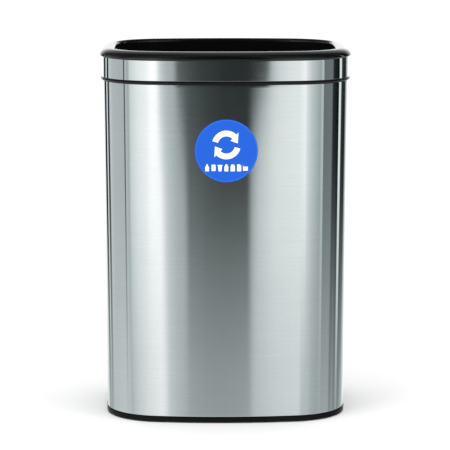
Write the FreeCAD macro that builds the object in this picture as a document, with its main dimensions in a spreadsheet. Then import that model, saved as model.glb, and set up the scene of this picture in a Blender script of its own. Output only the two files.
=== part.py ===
"""Oval open-top recycling bin: a tapered stainless shell on a black base, a lift-off collar and a lift-out liner.

Every piece follows one bowed, round-cornered outline, the body outline. Its size is taken at the top of the
shell, and each piece's walls are that outline moved in (inset) or out (negative inset) by a few millimetres.
X is left to right, the front faces -Y, and Z = 0 is the floor that the rubber feet stand on.
"""

import FreeCAD, Part
import Sketcher
from FreeCAD import Vector
import math
import os

OUT = "parts"
PLAIN = FreeCAD.Rotation()
X_AXIS, Y_AXIS, ORIGIN = -1, -2, (-1, 1)
START, END, CENTRE = 1, 2, 3
NEAR = 1e-3  # how close, in mm, an edge lies to the height that it is looked for at

SIZES = {
    # the body outline, at the top of the shell
    "BodyWidth": 394.0,
    "BodyDepth": 324.0,
    "CornerRadius": 98.0,
    "FrontRadius": 720.0,
    "SideRadius": 2000.0,
    # the stainless shell
    "BodyTaper": 5.25,
    "SheetGauge": 0.8,
    "ShellBottom": 9.1,
    "ShellTop": 539.7,
    "ShellHem": 2.0,
    "HemBand": 6.0,
    "TopFlange": 9.0,
    "BottomFlange": 12.0,
    # the black ring between shell and collar
    "RingTop": 543.7,
    "RingOverhang": 2.75,
    "RingEdge": 0.9,
    "RingSkirtInset": 9.4,
    "RingSkirtWall": 2.0,
    "RingSkirtDrop": 18.0,
    "SpigotInset": 2.0,
    "SpigotWall": 2.5,
    "SpigotTop": 565.0,
    "LugReach": 1.6,
    "LugLength": 22.0,
    "LugHeight": 3.0,
    "LugX": 80.0,
    # the stainless collar band
    "CollarOverhang": 1.0,
    "CollarGap": 0.3,
    "CollarTop": 577.2,
    "CollarTopHem": 1.8,
    "CollarLowHem": 0.7,
    "CollarHemHeight": 3.0,
    "CollarFlange": 9.0,
    # the black rim moulding
    "RimOverhang": 4.0,
    "RimEdge": 1.4,
    "RimTop": 589.3,
    "RimCrestInset": 15.0,
    "RimLip": 5.0,
    "MouthInset": 21.0,
    "RimSkirtWall": 2.5,
    "RimSkirtBottom": 545.0,
    "RimChannelInset": 3.0,
    "RimChannelDepth": 7.2,
    "RimRibInset": 9.4,
    "RimRibWall": 2.0,
    "RimRibDrop": 7.0,
    "RimBoss": 8.0,
    "CollarScrewInset": 5.5,
    "CollarScrewX": 96.0,
    "CollarScrewShank": 3.0,
    "CollarScrewPilot": 3.1,
    "CollarScrewClearance": 3.6,
    "CollarScrewHead": 6.5,
    "CollarScrewHeadHeight": 2.3,
    "CollarScrewReach": 6.5,
    # the rubber pads that keep the collar from rattling
    "PadOuter": 0.2,
    "PadInner": 1.9,
    "PadLength": 18.0,
    "PadBottom": 550.0,
    "PadHeight": 10.0,
    # the galvanised floor pan
    "PanInset": 2.2,
    "PanGauge": 1.0,
    "PanWall": 8.0,
    # the black base skirt
    "SkirtBottom": 1.5,
    "SkirtOverhang": 1.0,
    "SkirtWall": 3.0,
    "SkirtPlate": 2.6,
    "SkirtEdge": 0.6,
    "RibWidth": 2.4,
    "RibDrop": 3.6,
    "RibPitch": 56.0,
    "RibLength": 262.0,
    # screws up through skirt, shell flange and pan
    "BaseScrewInset": 6.5,
    "BaseScrewX": 90.0,
    "BaseScrewShank": 4.0,
    "BaseScrewHole": 4.3,
    "BaseScrewHead": 7.4,
    "BaseScrewHeadHeight": 2.6,
    "BaseScrewTip": 15.0,
    # rubber feet
    "FootX": 126.0,
    "FootY": 100.0,
    "FootDiameter": 26.0,
    "FootChamfer": 1.2,
    "FootCounterbore": 10.0,
    "FootWeb": 2.4,
    "FootScrewShank": 3.5,
    "FootScrewHole": 3.8,
    "FootScrewHead": 7.0,
    "FootScrewHeadHeight": 2.2,
    "FootScrewTip": 14.0,
    # the vinyl label and the seam strip on the shell
    "LabelDiameter": 98.5,
    "LabelHeight": 435.6,
    "LabelGap": 0.02,
    "LabelThickness": 0.35,
    "SeamWidth": 16.0,
    "SeamThickness": 0.7,
    "SeamMargin": 7.0,
    # the lift-out liner
    "LinerBottom": 17.0,
    "LinerTop": 547.0,
    "LinerInset": 12.9,
    "LinerDraft": 12.0,
    "LinerWall": 2.2,
    "LinerFloor": 2.5,
    "LinerFootRadius": 7.0,
    "LinerBand": 12.0,
    "LinerLipInset": 5.3,
    "LinerLipThickness": 3.0,
    "LinerLipEdge": 1.0,
    "PivotHeight": 520.0,
    "BossDiameter": 15.0,
    "BossFace": 174.0,
    "ShelfX": 80.0,
    "ShelfWidth": 14.0,
    "ShelfDepth": 17.0,
    "ShelfHeight": 6.0,
    "ShelfGap": 0.3,
    "ShelfBite": 1.1,
    # the wire bail, its grip and its pins
    "BailX": 171.0,
    "BailReach": 130.0,
    "BailBend": 70.0,
    "BailWire": 5.0,
    "EyeDiameter": 13.0,
    "EyeHole": 5.2,
    "EyeThickness": 3.6,
    "PinDiameter": 5.0,
    "PinHead": 9.0,
    "PinHeadThickness": 2.0,
    "PinGap": 0.5,
    "PinSeat": 5.0,
    "GripDiameter": 16.0,
    "GripLength": 112.0,
}

doc = FreeCAD.newDocument("RecyclingBin")
sheet = doc.addObject("Spreadsheet::Sheet", "Sheet")
for row, (alias, number) in enumerate(SIZES.items(), start=1):
    sheet.set(f"A{row}", alias)
    sheet.set(f"B{row}", str(number))
    sheet.setAlias(f"B{row}", alias)
doc.recompute()

pieces = []


def size(expression):
    """The number that an expression of sheet aliases comes to."""
    return float(sheet.evalExpression(bound(expression)))


def bound(expression):
    """The expression with each alias written as a reference to the sheet."""
    text = str(expression)
    words, word = [], ""
    for letter in text + " ":
        if letter.isalnum():
            word += letter
            continue
        words.append(f"Sheet.{word}" if word in SIZES else word)
        words.append(letter)
        word = ""
    return "".join(words).strip()


def new_body(label):
    """A PartDesign body that becomes one node of the bin."""
    body = doc.addObject("PartDesign::Body", label)
    body.Label = label
    pieces.append(body)
    return body


def new_sketch(body, name, height="0", plane="XY_Plane"):
    """A sketch on one of the body's origin planes, moved along that plane's normal by height."""
    sketch = body.newObject("Sketcher::SketchObject", name)
    support = next(f for f in body.Origin.OriginFeatures if f.Role == plane)
    sketch.AttachmentSupport = [(support, "")]
    sketch.MapMode = "FlatFace"
    sketch.setExpression(".AttachmentOffset.Base.z", bound(height))
    return sketch


def dimension(sketch, kind, *where, value):
    """A dimension constraint whose value stays bound to the sheet."""
    index = sketch.addConstraint(Sketcher.Constraint(kind, *where, size(value)))
    sketch.setExpression(f"Constraints[{index}]", bound(value))


def outline_centres():
    """Centres of the front arc, the right side's arc and the front right corner's arc of the body outline."""
    half_width, half_depth = size("BodyWidth / 2"), size("BodyDepth / 2")
    front, side, corner = size("FrontRadius"), size("SideRadius"), size("CornerRadius")
    front_centre = Vector(0, front - half_depth, 0)
    side_centre = Vector(half_width - side, 0, 0)
    # The corner's arc touches both large arcs from inside.
    reach_front, reach_side = front - corner, side - corner
    between = side_centre - front_centre
    along = (reach_front**2 - reach_side**2 + between.Length**2) / (2 * between.Length)
    across = math.sqrt(reach_front**2 - along**2)
    unit = between / between.Length
    corner_centre = front_centre + unit * along + Vector(-unit.y, unit.x, 0) * across
    return front_centre, side_centre, corner_centre


def flipped(point, left=False, back=False):
    return Vector(-point.x if left else point.x, -point.y if back else point.y, 0)


def add_outline(sketch, inset):
    """Draws the body outline, moved in by inset, as eight tangent arcs that stay bound to the sheet."""
    front_centre, side_centre, corner_centre = outline_centres()
    first = sketch.GeometryCount
    moved = size(inset)
    side_radius, front_radius = size("SideRadius") - moved, size("FrontRadius") - moved
    corner_radius = size("CornerRadius") - moved
    # Directions of the front right corner's two tangent points, as seen from its centre.
    to_side = (corner_centre - side_centre).normalize()
    to_front = (corner_centre - front_centre).normalize()
    side_angle, front_angle = math.atan2(to_side.y, to_side.x), math.atan2(to_front.y, to_front.x)
    half_turn = math.pi
    arcs = [
        (side_centre, side_radius, side_angle, -side_angle),
        (flipped(corner_centre, back=True), corner_radius, -side_angle, -front_angle),
        (flipped(front_centre, back=True), front_radius, -front_angle, half_turn + front_angle),
        (
            flipped(corner_centre, left=True, back=True),
            corner_radius,
            half_turn + front_angle,
            half_turn + side_angle,
        ),
        (flipped(side_centre, left=True), side_radius, half_turn + side_angle, half_turn - side_angle),
        (
            flipped(corner_centre, left=True),
            corner_radius,
            half_turn - side_angle,
            half_turn - front_angle,
        ),
        (front_centre, front_radius, half_turn - front_angle, 2 * half_turn + front_angle),
        (corner_centre, corner_radius, front_angle, side_angle),
    ]
    for centre, radius, start, end in arcs:
        circle = Part.Circle(centre, Vector(0, 0, 1), radius)
        sketch.addGeometry(Part.ArcOfCircle(circle, start, end), False)
    right, back, left, front = first, first + 2, first + 4, first + 6
    corners = [first + 1, first + 3, first + 5, first + 7]
    for step in range(8):
        arc, following = first + step, first + (step + 1) % 8
        sketch.addConstraint(Sketcher.Constraint("Tangent", arc, END, following, START))
    for arc, axis in ((right, X_AXIS), (left, X_AXIS), (front, Y_AXIS), (back, Y_AXIS)):
        sketch.addConstraint(Sketcher.Constraint("PointOnObject", arc, CENTRE, axis))
    sketch.addConstraint(Sketcher.Constraint("Equal", right, left))
    sketch.addConstraint(Sketcher.Constraint("Equal", front, back))
    for corner in corners[1:]:
        sketch.addConstraint(Sketcher.Constraint("Equal", corners[0], corner))
    dimension(sketch, "Radius", right, value=f"SideRadius - ({inset})")
    dimension(sketch, "Radius", front, value=f"FrontRadius - ({inset})")
    dimension(sketch, "Radius", corners[0], value=f"CornerRadius - ({inset})")
    from_side, from_front = "SideRadius - BodyWidth / 2", "FrontRadius - BodyDepth / 2"
    dimension(sketch, "DistanceX", right, CENTRE, *ORIGIN, value=from_side)
    dimension(sketch, "DistanceX", *ORIGIN, left, CENTRE, value=from_side)
    dimension(sketch, "DistanceY", *ORIGIN, front, CENTRE, value=from_front)
    dimension(sketch, "DistanceY", back, CENTRE, *ORIGIN, value=from_front)


def outline_sketch(body, name, height, *insets):
    sketch = new_sketch(body, name, height)
    for inset in insets:
        add_outline(sketch, inset)
    return sketch


def pad(body, name, sketch, length, reverse=False, midplane=False):
    feature = body.newObject("PartDesign::Pad", name)
    feature.Profile = sketch
    feature.setExpression("Length", bound(length))
    feature.Reversed = reverse
    feature.Midplane = midplane
    doc.recompute()
    return feature


def pocket(body, name, sketch, length, upwards=False, midplane=False):
    """Cuts the sketch out over a length, and makes sure that the cut took something away."""
    before = body.Shape.Volume
    feature = body.newObject("PartDesign::Pocket", name)
    feature.Profile = sketch
    feature.setExpression("Length", bound(length))
    feature.Reversed = upwards
    feature.Midplane = midplane
    doc.recompute()
    if body.Shape.Volume > before - NEAR:
        raise RuntimeError(f"{body.Label}: {name} cuts nothing")
    return feature


def loft(body, name, lower, upper, cut=False):
    """A straight-sided loft between two outlines, added to the body or cut from it."""
    kind = "PartDesign::SubtractiveLoft" if cut else "PartDesign::AdditiveLoft"
    feature = body.newObject(kind, name)
    feature.Profile = lower
    feature.Sections = [upper]
    feature.Ruled = True
    doc.recompute()
    return feature


def tapered(body, name, low, high, bands, cut=False):
    """A tapered prism with a short straight band at its foot and its head, added or cut.

    low and high are pairs of a height and an inset, bands the heights of the two straight bands.
    """
    foot_band, head_band = bands
    foot_end, head_start = f"{low[0]} + {foot_band}", f"{high[0]} - {head_band}"
    foot = outline_sketch(body, f"{name}_foot_outline", low[0], low[1])
    head = outline_sketch(body, f"{name}_head_outline", head_start, high[1])
    for part, outline, length in (("foot", foot, foot_band), ("head", head, head_band)):
        if cut:
            pocket(body, f"{name}_{part}", outline, length, upwards=True)
        elif part == "foot":
            pad(body, f"{name}_{part}", outline, length)
    lower = outline_sketch(body, f"{name}_loft_low", foot_end, low[1])
    upper = outline_sketch(body, f"{name}_loft_high", head_start, high[1])
    between = loft(body, f"{name}_loft", lower, upper, cut=cut)
    return between if cut else pad(body, f"{name}_head", head, head_band)


def edges_at(feature, height, inside=None, outside=None):
    """Names of the feature's level edges at a height, inside or outside a distance from the centre along Y."""
    found = []
    for number, edge in enumerate(feature.Shape.Edges, start=1):
        box = edge.BoundBox
        reach = max(math.hypot(v.X, v.Y) for v in edge.Vertexes)
        if max(abs(box.ZMin - height), abs(box.ZMax - height)) > NEAR:
            continue
        if inside is not None and reach > inside:
            continue
        if outside is not None and reach < outside:
            continue
        found.append(f"Edge{number}")
    return found


def fillet(body, name, base, edges, radius):
    feature = body.newObject("PartDesign::Fillet", name)
    feature.Base = (base, edges)
    feature.setExpression("Radius", bound(radius))
    doc.recompute()
    return feature


def corner_reach(inset):
    """Distance from the centre to the outline's tangent point nearest the front, for an inset."""
    front_centre, _, corner_centre = outline_centres()
    direction = (corner_centre - front_centre).normalize()
    point = corner_centre + direction * (size("CornerRadius") - size(inset))
    return point.Length


def ring(body, name, bottom, height, outer, inner):
    """A wall of constant thickness that follows the body outline."""
    sketch = outline_sketch(body, f"{name}_outline", bottom, outer, inner)
    return pad(body, name, sketch, height)


def add_circles(sketch, places, diameter):
    """Circles of one diameter, at places given as pairs of expressions."""
    for x, y in places:
        circle = Part.Circle(Vector(size(x), size(y), 0), Vector(0, 0, 1), size(diameter) / 2)
        index = sketch.addGeometry(circle, False)
        dimension(sketch, "Diameter", index, value=diameter)
        for axis, kind, value in (("x", "DistanceX", x), ("y", "DistanceY", y)):
            if abs(size(value)) < NEAR:
                line = Y_AXIS if axis == "x" else X_AXIS
                sketch.addConstraint(Sketcher.Constraint("PointOnObject", index, CENTRE, line))
            elif size(value) > 0:
                dimension(sketch, kind, *ORIGIN, index, CENTRE, value=value)
            else:
                dimension(sketch, kind, index, CENTRE, *ORIGIN, value=f"-({value})")


def add_rectangle(sketch, low_x, high_x, low_y, high_y):
    """An upright rectangle with its four sides bound to the sheet."""
    corners = [
        Vector(size(x), size(y), 0)
        for x, y in ((low_x, low_y), (high_x, low_y), (high_x, high_y), (low_x, high_y))
    ]
    first = sketch.GeometryCount
    for here, there in zip(corners, corners[1:] + corners[:1]):
        sketch.addGeometry(Part.LineSegment(here, there), False)
    for side in range(4):
        following = first + (side + 1) % 4
        sketch.addConstraint(Sketcher.Constraint("Coincident", first + side, END, following, START))
        kind = "Vertical" if side % 2 else "Horizontal"
        sketch.addConstraint(Sketcher.Constraint(kind, first + side))
    for kind, corner, value in (
        ("DistanceX", first, low_x),
        ("DistanceX", first + 2, high_x),
        ("DistanceY", first, low_y),
        ("DistanceY", first + 2, high_y),
    ):
        if size(value) > 0:
            dimension(sketch, kind, *ORIGIN, corner, START, value=value)
        else:
            dimension(sketch, kind, corner, START, *ORIGIN, value=f"-({value})")


def front_y(inset, across):
    """Expression for how far behind the centre the back arc of an inset outline runs, at X = across."""
    radius = f"(FrontRadius - ({inset}))"
    return f"(sqrt({radius} ^ 2 - ({across}) ^ 2) - FrontRadius + BodyDepth / 2)"


def perimeter_places(inset, across):
    """Six fixing places that follow the outline: two in front, two behind and one at each end."""
    depth = front_y(inset, across)
    end = f"(BodyWidth / 2 - ({inset}))"
    return [
        (across, depth),
        (across, f"-{depth}"),
        (f"-{across}", depth),
        (f"-{across}", f"-{depth}"),
        (end, "0"),
        (f"-{end}", "0"),
    ]


def foot_places():
    return {
        "front_left": ("-FootX", "-FootY"),
        "front_right": ("FootX", "-FootY"),
        "back_left": ("-FootX", "FootY"),
        "back_right": ("FootX", "FootY"),
    }


BASE_SCREWS = perimeter_places("BodyTaper + BaseScrewInset", "BaseScrewX")
COLLAR_SCREWS = perimeter_places("CollarScrewInset", "CollarScrewX")
FLANGE_TOP = "ShellBottom + SheetGauge"
PAN_TOP = f"{FLANGE_TOP} + PanGauge"
PLATE_BOTTOM = "ShellBottom - SkirtPlate"
# How far the rim's dome has leaned in and risen at each step, as shares of its whole reach and rise.
DOME_STEPS = ((0, 0), (0.1, 0.44), (0.3, 0.72), (0.6, 0.92), (1, 1))


def make_body_shell():
    """Rolled stainless sheet with a hemmed edge and a narrow inward flange at the top and at the bottom."""
    body = new_body("body_shell")
    bands = ("HemBand", "HemBand")
    skin = tapered(body, "skin", ("ShellBottom", "BodyTaper"), ("ShellTop", "0"), bands)
    hems = edges_at(skin, size("ShellTop")) + edges_at(skin, size("ShellBottom"))
    fillet(body, "shell_hems", skin, hems, "ShellHem")
    low, high = (FLANGE_TOP, "BodyTaper + SheetGauge"), ("ShellTop - SheetGauge", "SheetGauge")
    bands = ("(HemBand - SheetGauge)", "(HemBand - SheetGauge)")
    cavity = tapered(body, "cavity", low, high, bands, cut=True)
    inner = edges_at(cavity, size(FLANGE_TOP)) + edges_at(cavity, size("ShellTop - SheetGauge"))
    fillet(body, "cavity_hems", cavity, inner, "ShellHem - SheetGauge")
    mouth = outline_sketch(body, "top_opening", "ShellTop", "TopFlange")
    pocket(body, "top_opening_cut", mouth, "2 * SheetGauge")
    foot = outline_sketch(body, "bottom_opening", "ShellBottom", "BodyTaper + BottomFlange")
    pocket(body, "bottom_opening_cut", foot, "2 * SheetGauge", upwards=True)
    holes = new_sketch(body, "flange_holes", "ShellBottom")
    add_circles(holes, BASE_SCREWS, "BaseScrewHole")
    pocket(body, "flange_holes_cut", holes, "2 * SheetGauge", upwards=True)


def make_top_ring():
    """Black ring that snaps into the shell's top flange, carries the collar and hangs the liner."""
    body = new_body("top_ring")
    skirt_inner = "RingSkirtInset + RingSkirtWall"
    ledge = ring(body, "ledge", "ShellTop", "RingTop - ShellTop", "-RingOverhang", skirt_inner)
    outer_reach = corner_reach("0")
    edges = edges_at(ledge, size("RingTop"), outside=outer_reach)
    edges += edges_at(ledge, size("ShellTop"), outside=outer_reach)
    fillet(body, "ledge_edge", ledge, edges, "RingEdge")
    ring(body, "spigot", "RingTop", "SpigotTop - RingTop", "SpigotInset", "SpigotInset + SpigotWall")
    ring(body, "skirt", "ShellTop - RingSkirtDrop", "RingSkirtDrop", "RingSkirtInset", skirt_inner)
    lugs = new_sketch(body, "snap_lugs_outline", "ShellTop - 2 * SheetGauge - LugHeight")
    depth = front_y("RingSkirtInset", "LugX + LugLength / 2")
    for side in (-1, 1):
        low = f"({side} * LugX - LugLength / 2)"
        high = f"({side} * LugX + LugLength / 2)"
        add_rectangle(lugs, low, high, f"{depth} - RingSkirtWall / 2", f"{depth} + LugReach")
        add_rectangle(lugs, low, high, f"-{depth} - LugReach", f"-{depth} + RingSkirtWall / 2")
    pad(body, "snap_lugs", lugs, "LugHeight")


def make_floor_pan():
    """Galvanised pan that closes the shell's foot: a plate on the bottom flange with a low upturned wall."""
    body = new_body("floor_pan")
    edge = "BodyTaper + PanInset"
    plate = outline_sketch(body, "plate_outline", FLANGE_TOP, edge)
    pad(body, "plate", plate, "PanGauge")
    ring(body, "upturn", PAN_TOP, "PanWall", edge, f"{edge} + PanGauge")
    holes = new_sketch(body, "screw_holes", FLANGE_TOP)
    add_circles(holes, BASE_SCREWS, "BaseScrewHole")
    add_circles(holes, foot_places().values(), "FootScrewHole")
    pocket(body, "screw_holes_cut", holes, "PanGauge", upwards=True)


def make_base_skirt():
    """Black base moulding: a plate under the shell with a low outer wall and stiffening ribs beneath."""
    body = new_body("base_skirt")
    outer = "BodyTaper - SkirtOverhang"
    plate = outline_sketch(body, "plate_outline", PLATE_BOTTOM, outer)
    pad(body, "plate", plate, "SkirtPlate")
    wall = ring(body, "wall", "SkirtBottom", f"{PLATE_BOTTOM} - SkirtBottom", outer, f"{outer} + SkirtWall")
    reach = corner_reach("BodyTaper")
    edges = edges_at(wall, size("SkirtBottom"), outside=reach)
    edges += edges_at(wall, size("ShellBottom"), outside=reach)
    fillet(body, "wall_edges", wall, edges, "SkirtEdge")
    holes = new_sketch(body, "screw_holes", PLATE_BOTTOM)
    add_circles(holes, BASE_SCREWS, "BaseScrewHole")
    add_circles(holes, foot_places().values(), "FootScrewHole")
    pocket(body, "screw_holes_cut", holes, "SkirtPlate", upwards=True)
    cross = new_sketch(body, "cross_rib_outline", f"{PLATE_BOTTOM} - RibDrop")
    low = "-2 * RibPitch + RibPitch / 2 - RibWidth / 2"
    add_rectangle(cross, low, f"{low} + RibWidth", "-RibLength / 2", "RibLength / 2")
    rib = pad(body, "cross_rib", cross, "RibDrop")
    pattern = body.newObject("PartDesign::LinearPattern", "cross_ribs")
    pattern.Originals = [rib]
    x_line = next(f for f in body.Origin.OriginFeatures if f.Role == "X_Axis")
    pattern.Direction = (x_line, [""])
    pattern.setExpression("Length", bound("3 * RibPitch"))
    pattern.Occurrences = 4
    body.Tip = pattern
    doc.recompute()
    spine = new_sketch(body, "long_rib_outline", f"{PLATE_BOTTOM} - RibDrop")
    half = "BodyWidth / 2 - BodyTaper - 4 * SkirtWall"
    add_rectangle(spine, f"-({half})", half, "-RibWidth / 2", "RibWidth / 2")
    pad(body, "long_rib", spine, "RibDrop")


def make_screws(label, places, shank, head, head_height, seat, tip, head_below=True):
    """Pan-head screws: shank from the seat to the tip, head on the other side of the seat."""
    body = new_body(label)
    heads = new_sketch(body, "heads", seat)
    add_circles(heads, places, head)
    top = pad(body, "head", heads, head_height, reverse=head_below)
    rims = edges_at(top, size(f"{seat} - {head_height}"))
    fillet(body, "head_dome", top, rims, f"{head_height} / 2")
    shanks = new_sketch(body, "shanks", seat)
    add_circles(shanks, places, shank)
    pad(body, "shank", shanks, f"{tip} - ({seat})")


def make_foot(label, place):
    """Rubber foot: a chamfered disc with a counterbore for its screw."""
    body = new_body(label)
    outline = new_sketch(body, "disc_outline", "0")
    add_circles(outline, [place], "FootDiameter")
    disc = pad(body, "disc", outline, PLATE_BOTTOM)
    chamfer = body.newObject("PartDesign::Chamfer", "disc_edge")
    chamfer.Base = (disc, edges_at(disc, 0.0))
    chamfer.setExpression("Size", bound("FootChamfer"))
    doc.recompute()
    bore = new_sketch(body, "counterbore", f"{PLATE_BOTTOM} - FootWeb")
    add_circles(bore, [place], "FootCounterbore")
    pocket(body, "counterbore_cut", bore, PLATE_BOTTOM)
    hole = new_sketch(body, "screw_hole", PLATE_BOTTOM)
    add_circles(hole, [place], "FootScrewHole")
    pocket(body, "screw_hole_cut", hole, PLATE_BOTTOM)


def skin_layer(name, bottom, top, gap, thickness):
    """A thin layer that lies on the outside of the tapered shell, from which a label or a strip is cut."""
    body = doc.addObject("PartDesign::Body", name)

    def inset(height, off):
        fall = f"BodyTaper * (ShellTop - HemBand - ({height})) / (ShellTop - ShellBottom - 2 * HemBand)"
        return f"{fall} - {off}"

    for part, off, cut in (("outer", f"({gap} + {thickness})", False), ("inner", gap, True)):
        low = outline_sketch(body, f"{part}_low", bottom, inset(bottom, off))
        high = outline_sketch(body, f"{part}_high", top, inset(top, off))
        loft(body, f"{part}_loft", low, high, cut=cut)
    return body


def make_common(label, base, tool):
    """The part of base that lies inside tool."""
    common = doc.addObject("Part::Common", label)
    common.Label = label
    common.Base = base
    common.Tool = tool
    pieces.append(common)
    doc.recompute()
    return common


def make_recycle_label():
    """Round vinyl label that follows the bowed front of the shell."""
    radius = "LabelDiameter / 2"
    layer = skin_layer(
        "label_layer", f"LabelHeight - {radius} - 5", f"LabelHeight + {radius} + 5", "LabelGap", "LabelThickness"
    )
    die = doc.addObject("Part::Cylinder", "label_die")
    die.setExpression("Radius", bound(radius))
    die.setExpression("Height", bound("BodyDepth"))
    die.Placement = FreeCAD.Placement(Vector(0, 0, 0), FreeCAD.Rotation(Vector(1, 0, 0), 90))
    die.setExpression(".Placement.Base.z", bound("LabelHeight"))
    make_common("recycle_label", layer, die)


def make_seam_strip():
    """Stainless strip spot-welded over the shell's butt seam, down the middle of the back."""
    low, high = "ShellBottom + SeamMargin", "ShellTop - SeamMargin"
    layer = skin_layer("seam_layer", low, high, "LabelGap", "SeamThickness")
    die = doc.addObject("Part::Box", "seam_die")
    for edge, length in (("Length", "SeamWidth"), ("Width", "BodyDepth"), ("Height", "ShellTop")):
        die.setExpression(edge, bound(length))
    die.setExpression(".Placement.Base.x", bound("-SeamWidth / 2"))
    make_common("seam_strip", layer, die)


def make_collar_band():
    """Stainless band with a rolled lower edge and an inward top flange that the rim is screwed to."""
    body = new_body("collar_band")
    bottom = "RingTop + CollarGap"
    outline = outline_sketch(body, "band_outline", bottom, "-CollarOverhang")
    band = pad(body, "band", outline, f"CollarTop - ({bottom})")
    rounded = fillet(body, "top_hem", band, edges_at(band, size("CollarTop")), "CollarTopHem")
    fillet(body, "low_hem", rounded, edges_at(rounded, size(bottom)), "CollarLowHem")
    inside = "SheetGauge - CollarOverhang"
    hollow = outline_sketch(body, "hollow_outline", f"{bottom} + CollarHemHeight", inside)
    pocket(
        body, "hollow_cut", hollow, f"CollarTop - SheetGauge - ({bottom}) - CollarHemHeight", upwards=True
    )
    mouth = outline_sketch(body, "foot_opening", bottom, "2 * SheetGauge - CollarOverhang")
    pocket(body, "foot_opening_cut", mouth, "CollarHemHeight", upwards=True)
    opening = outline_sketch(body, "flange_opening", "CollarTop", "CollarFlange")
    pocket(body, "flange_opening_cut", opening, "SheetGauge")
    holes = new_sketch(body, "flange_holes", "CollarTop")
    add_circles(holes, COLLAR_SCREWS, "CollarScrewClearance")
    pocket(body, "flange_holes_cut", holes, "SheetGauge")


def make_rim_moulding():
    """Gloss black mouth: a domed rim over the collar, with a deep skirt inside that holds the bag down."""
    body = new_body("rim_moulding")
    edge = outline_sketch(body, "edge_outline", "CollarTop", "-RimOverhang")
    pad(body, "edge", edge, "RimEdge")
    # The dome leans in from the edge and flattens towards its crest, in straight steps.
    rise, reach = "(RimTop - CollarTop - RimEdge)", "(RimCrestInset + RimOverhang)"
    steps = [
        (f"CollarTop + RimEdge + {up} * {rise}", f"{along} * {reach} - RimOverhang")
        for along, up in DOME_STEPS
    ]
    for number, (low, high) in enumerate(zip(steps, steps[1:]), start=1):
        lower = outline_sketch(body, f"dome_{number}_low", *low)
        upper = outline_sketch(body, f"dome_{number}_high", *high)
        loft(body, f"dome_{number}", lower, upper)
    mouth = outline_sketch(body, "mouth_outline", "RimTop", "MouthInset")
    opened = pocket(body, "mouth_cut", mouth, "RimTop - CollarTop")
    lip = edges_at(opened, size("RimTop"), inside=corner_reach("MouthInset - 1"))
    fillet(body, "lip", opened, lip, "RimLip")
    skirt_outer = "MouthInset - RimSkirtWall"
    channel = outline_sketch(body, "channel_outline", "CollarTop", "RimChannelInset", skirt_outer)
    pocket(body, "channel_cut", channel, "RimChannelDepth", upwards=True)
    ring(body, "skirt", "RimSkirtBottom", "CollarTop - RimSkirtBottom", skirt_outer, "MouthInset")
    rib_inner = "RimRibInset + RimRibWall"
    ring(body, "rib", "CollarTop - RimRibDrop", "RimRibDrop + RimChannelDepth", "RimRibInset", rib_inner)
    bosses = new_sketch(body, "bosses_outline", "CollarTop")
    add_circles(bosses, COLLAR_SCREWS, "RimBoss")
    pad(body, "bosses", bosses, "RimChannelDepth")
    pilots = new_sketch(body, "pilots_outline", "CollarTop")
    add_circles(pilots, COLLAR_SCREWS, "CollarScrewPilot")
    pocket(body, "pilots_cut", pilots, "RimChannelDepth", upwards=True)


def make_grip_pads():
    """Six rubber pads inside the collar band that fill the gap to the ring's spigot."""
    layer = doc.addObject("PartDesign::Body", "pad_layer")
    ring(layer, "layer", "PadBottom", "PadHeight", "-PadOuter", "PadInner")
    dies = []
    for number, (x, y) in enumerate(perimeter_places("0", "CollarScrewX"), start=1):
        die = doc.addObject("Part::Box", f"pad_die_{number}")
        for edge, length in (("Length", "PadLength"), ("Width", "PadLength"), ("Height", "ShellTop * 2")):
            die.setExpression(edge, bound(length))
        die.setExpression(".Placement.Base.x", bound(f"{x} - PadLength / 2"))
        die.setExpression(".Placement.Base.y", bound(f"{y} - PadLength / 2"))
        dies.append(die)
    cutter = doc.addObject("Part::MultiFuse", "pad_dies")
    cutter.Shapes = dies
    doc.recompute()
    make_common("grip_pads", layer, cutter)


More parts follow.
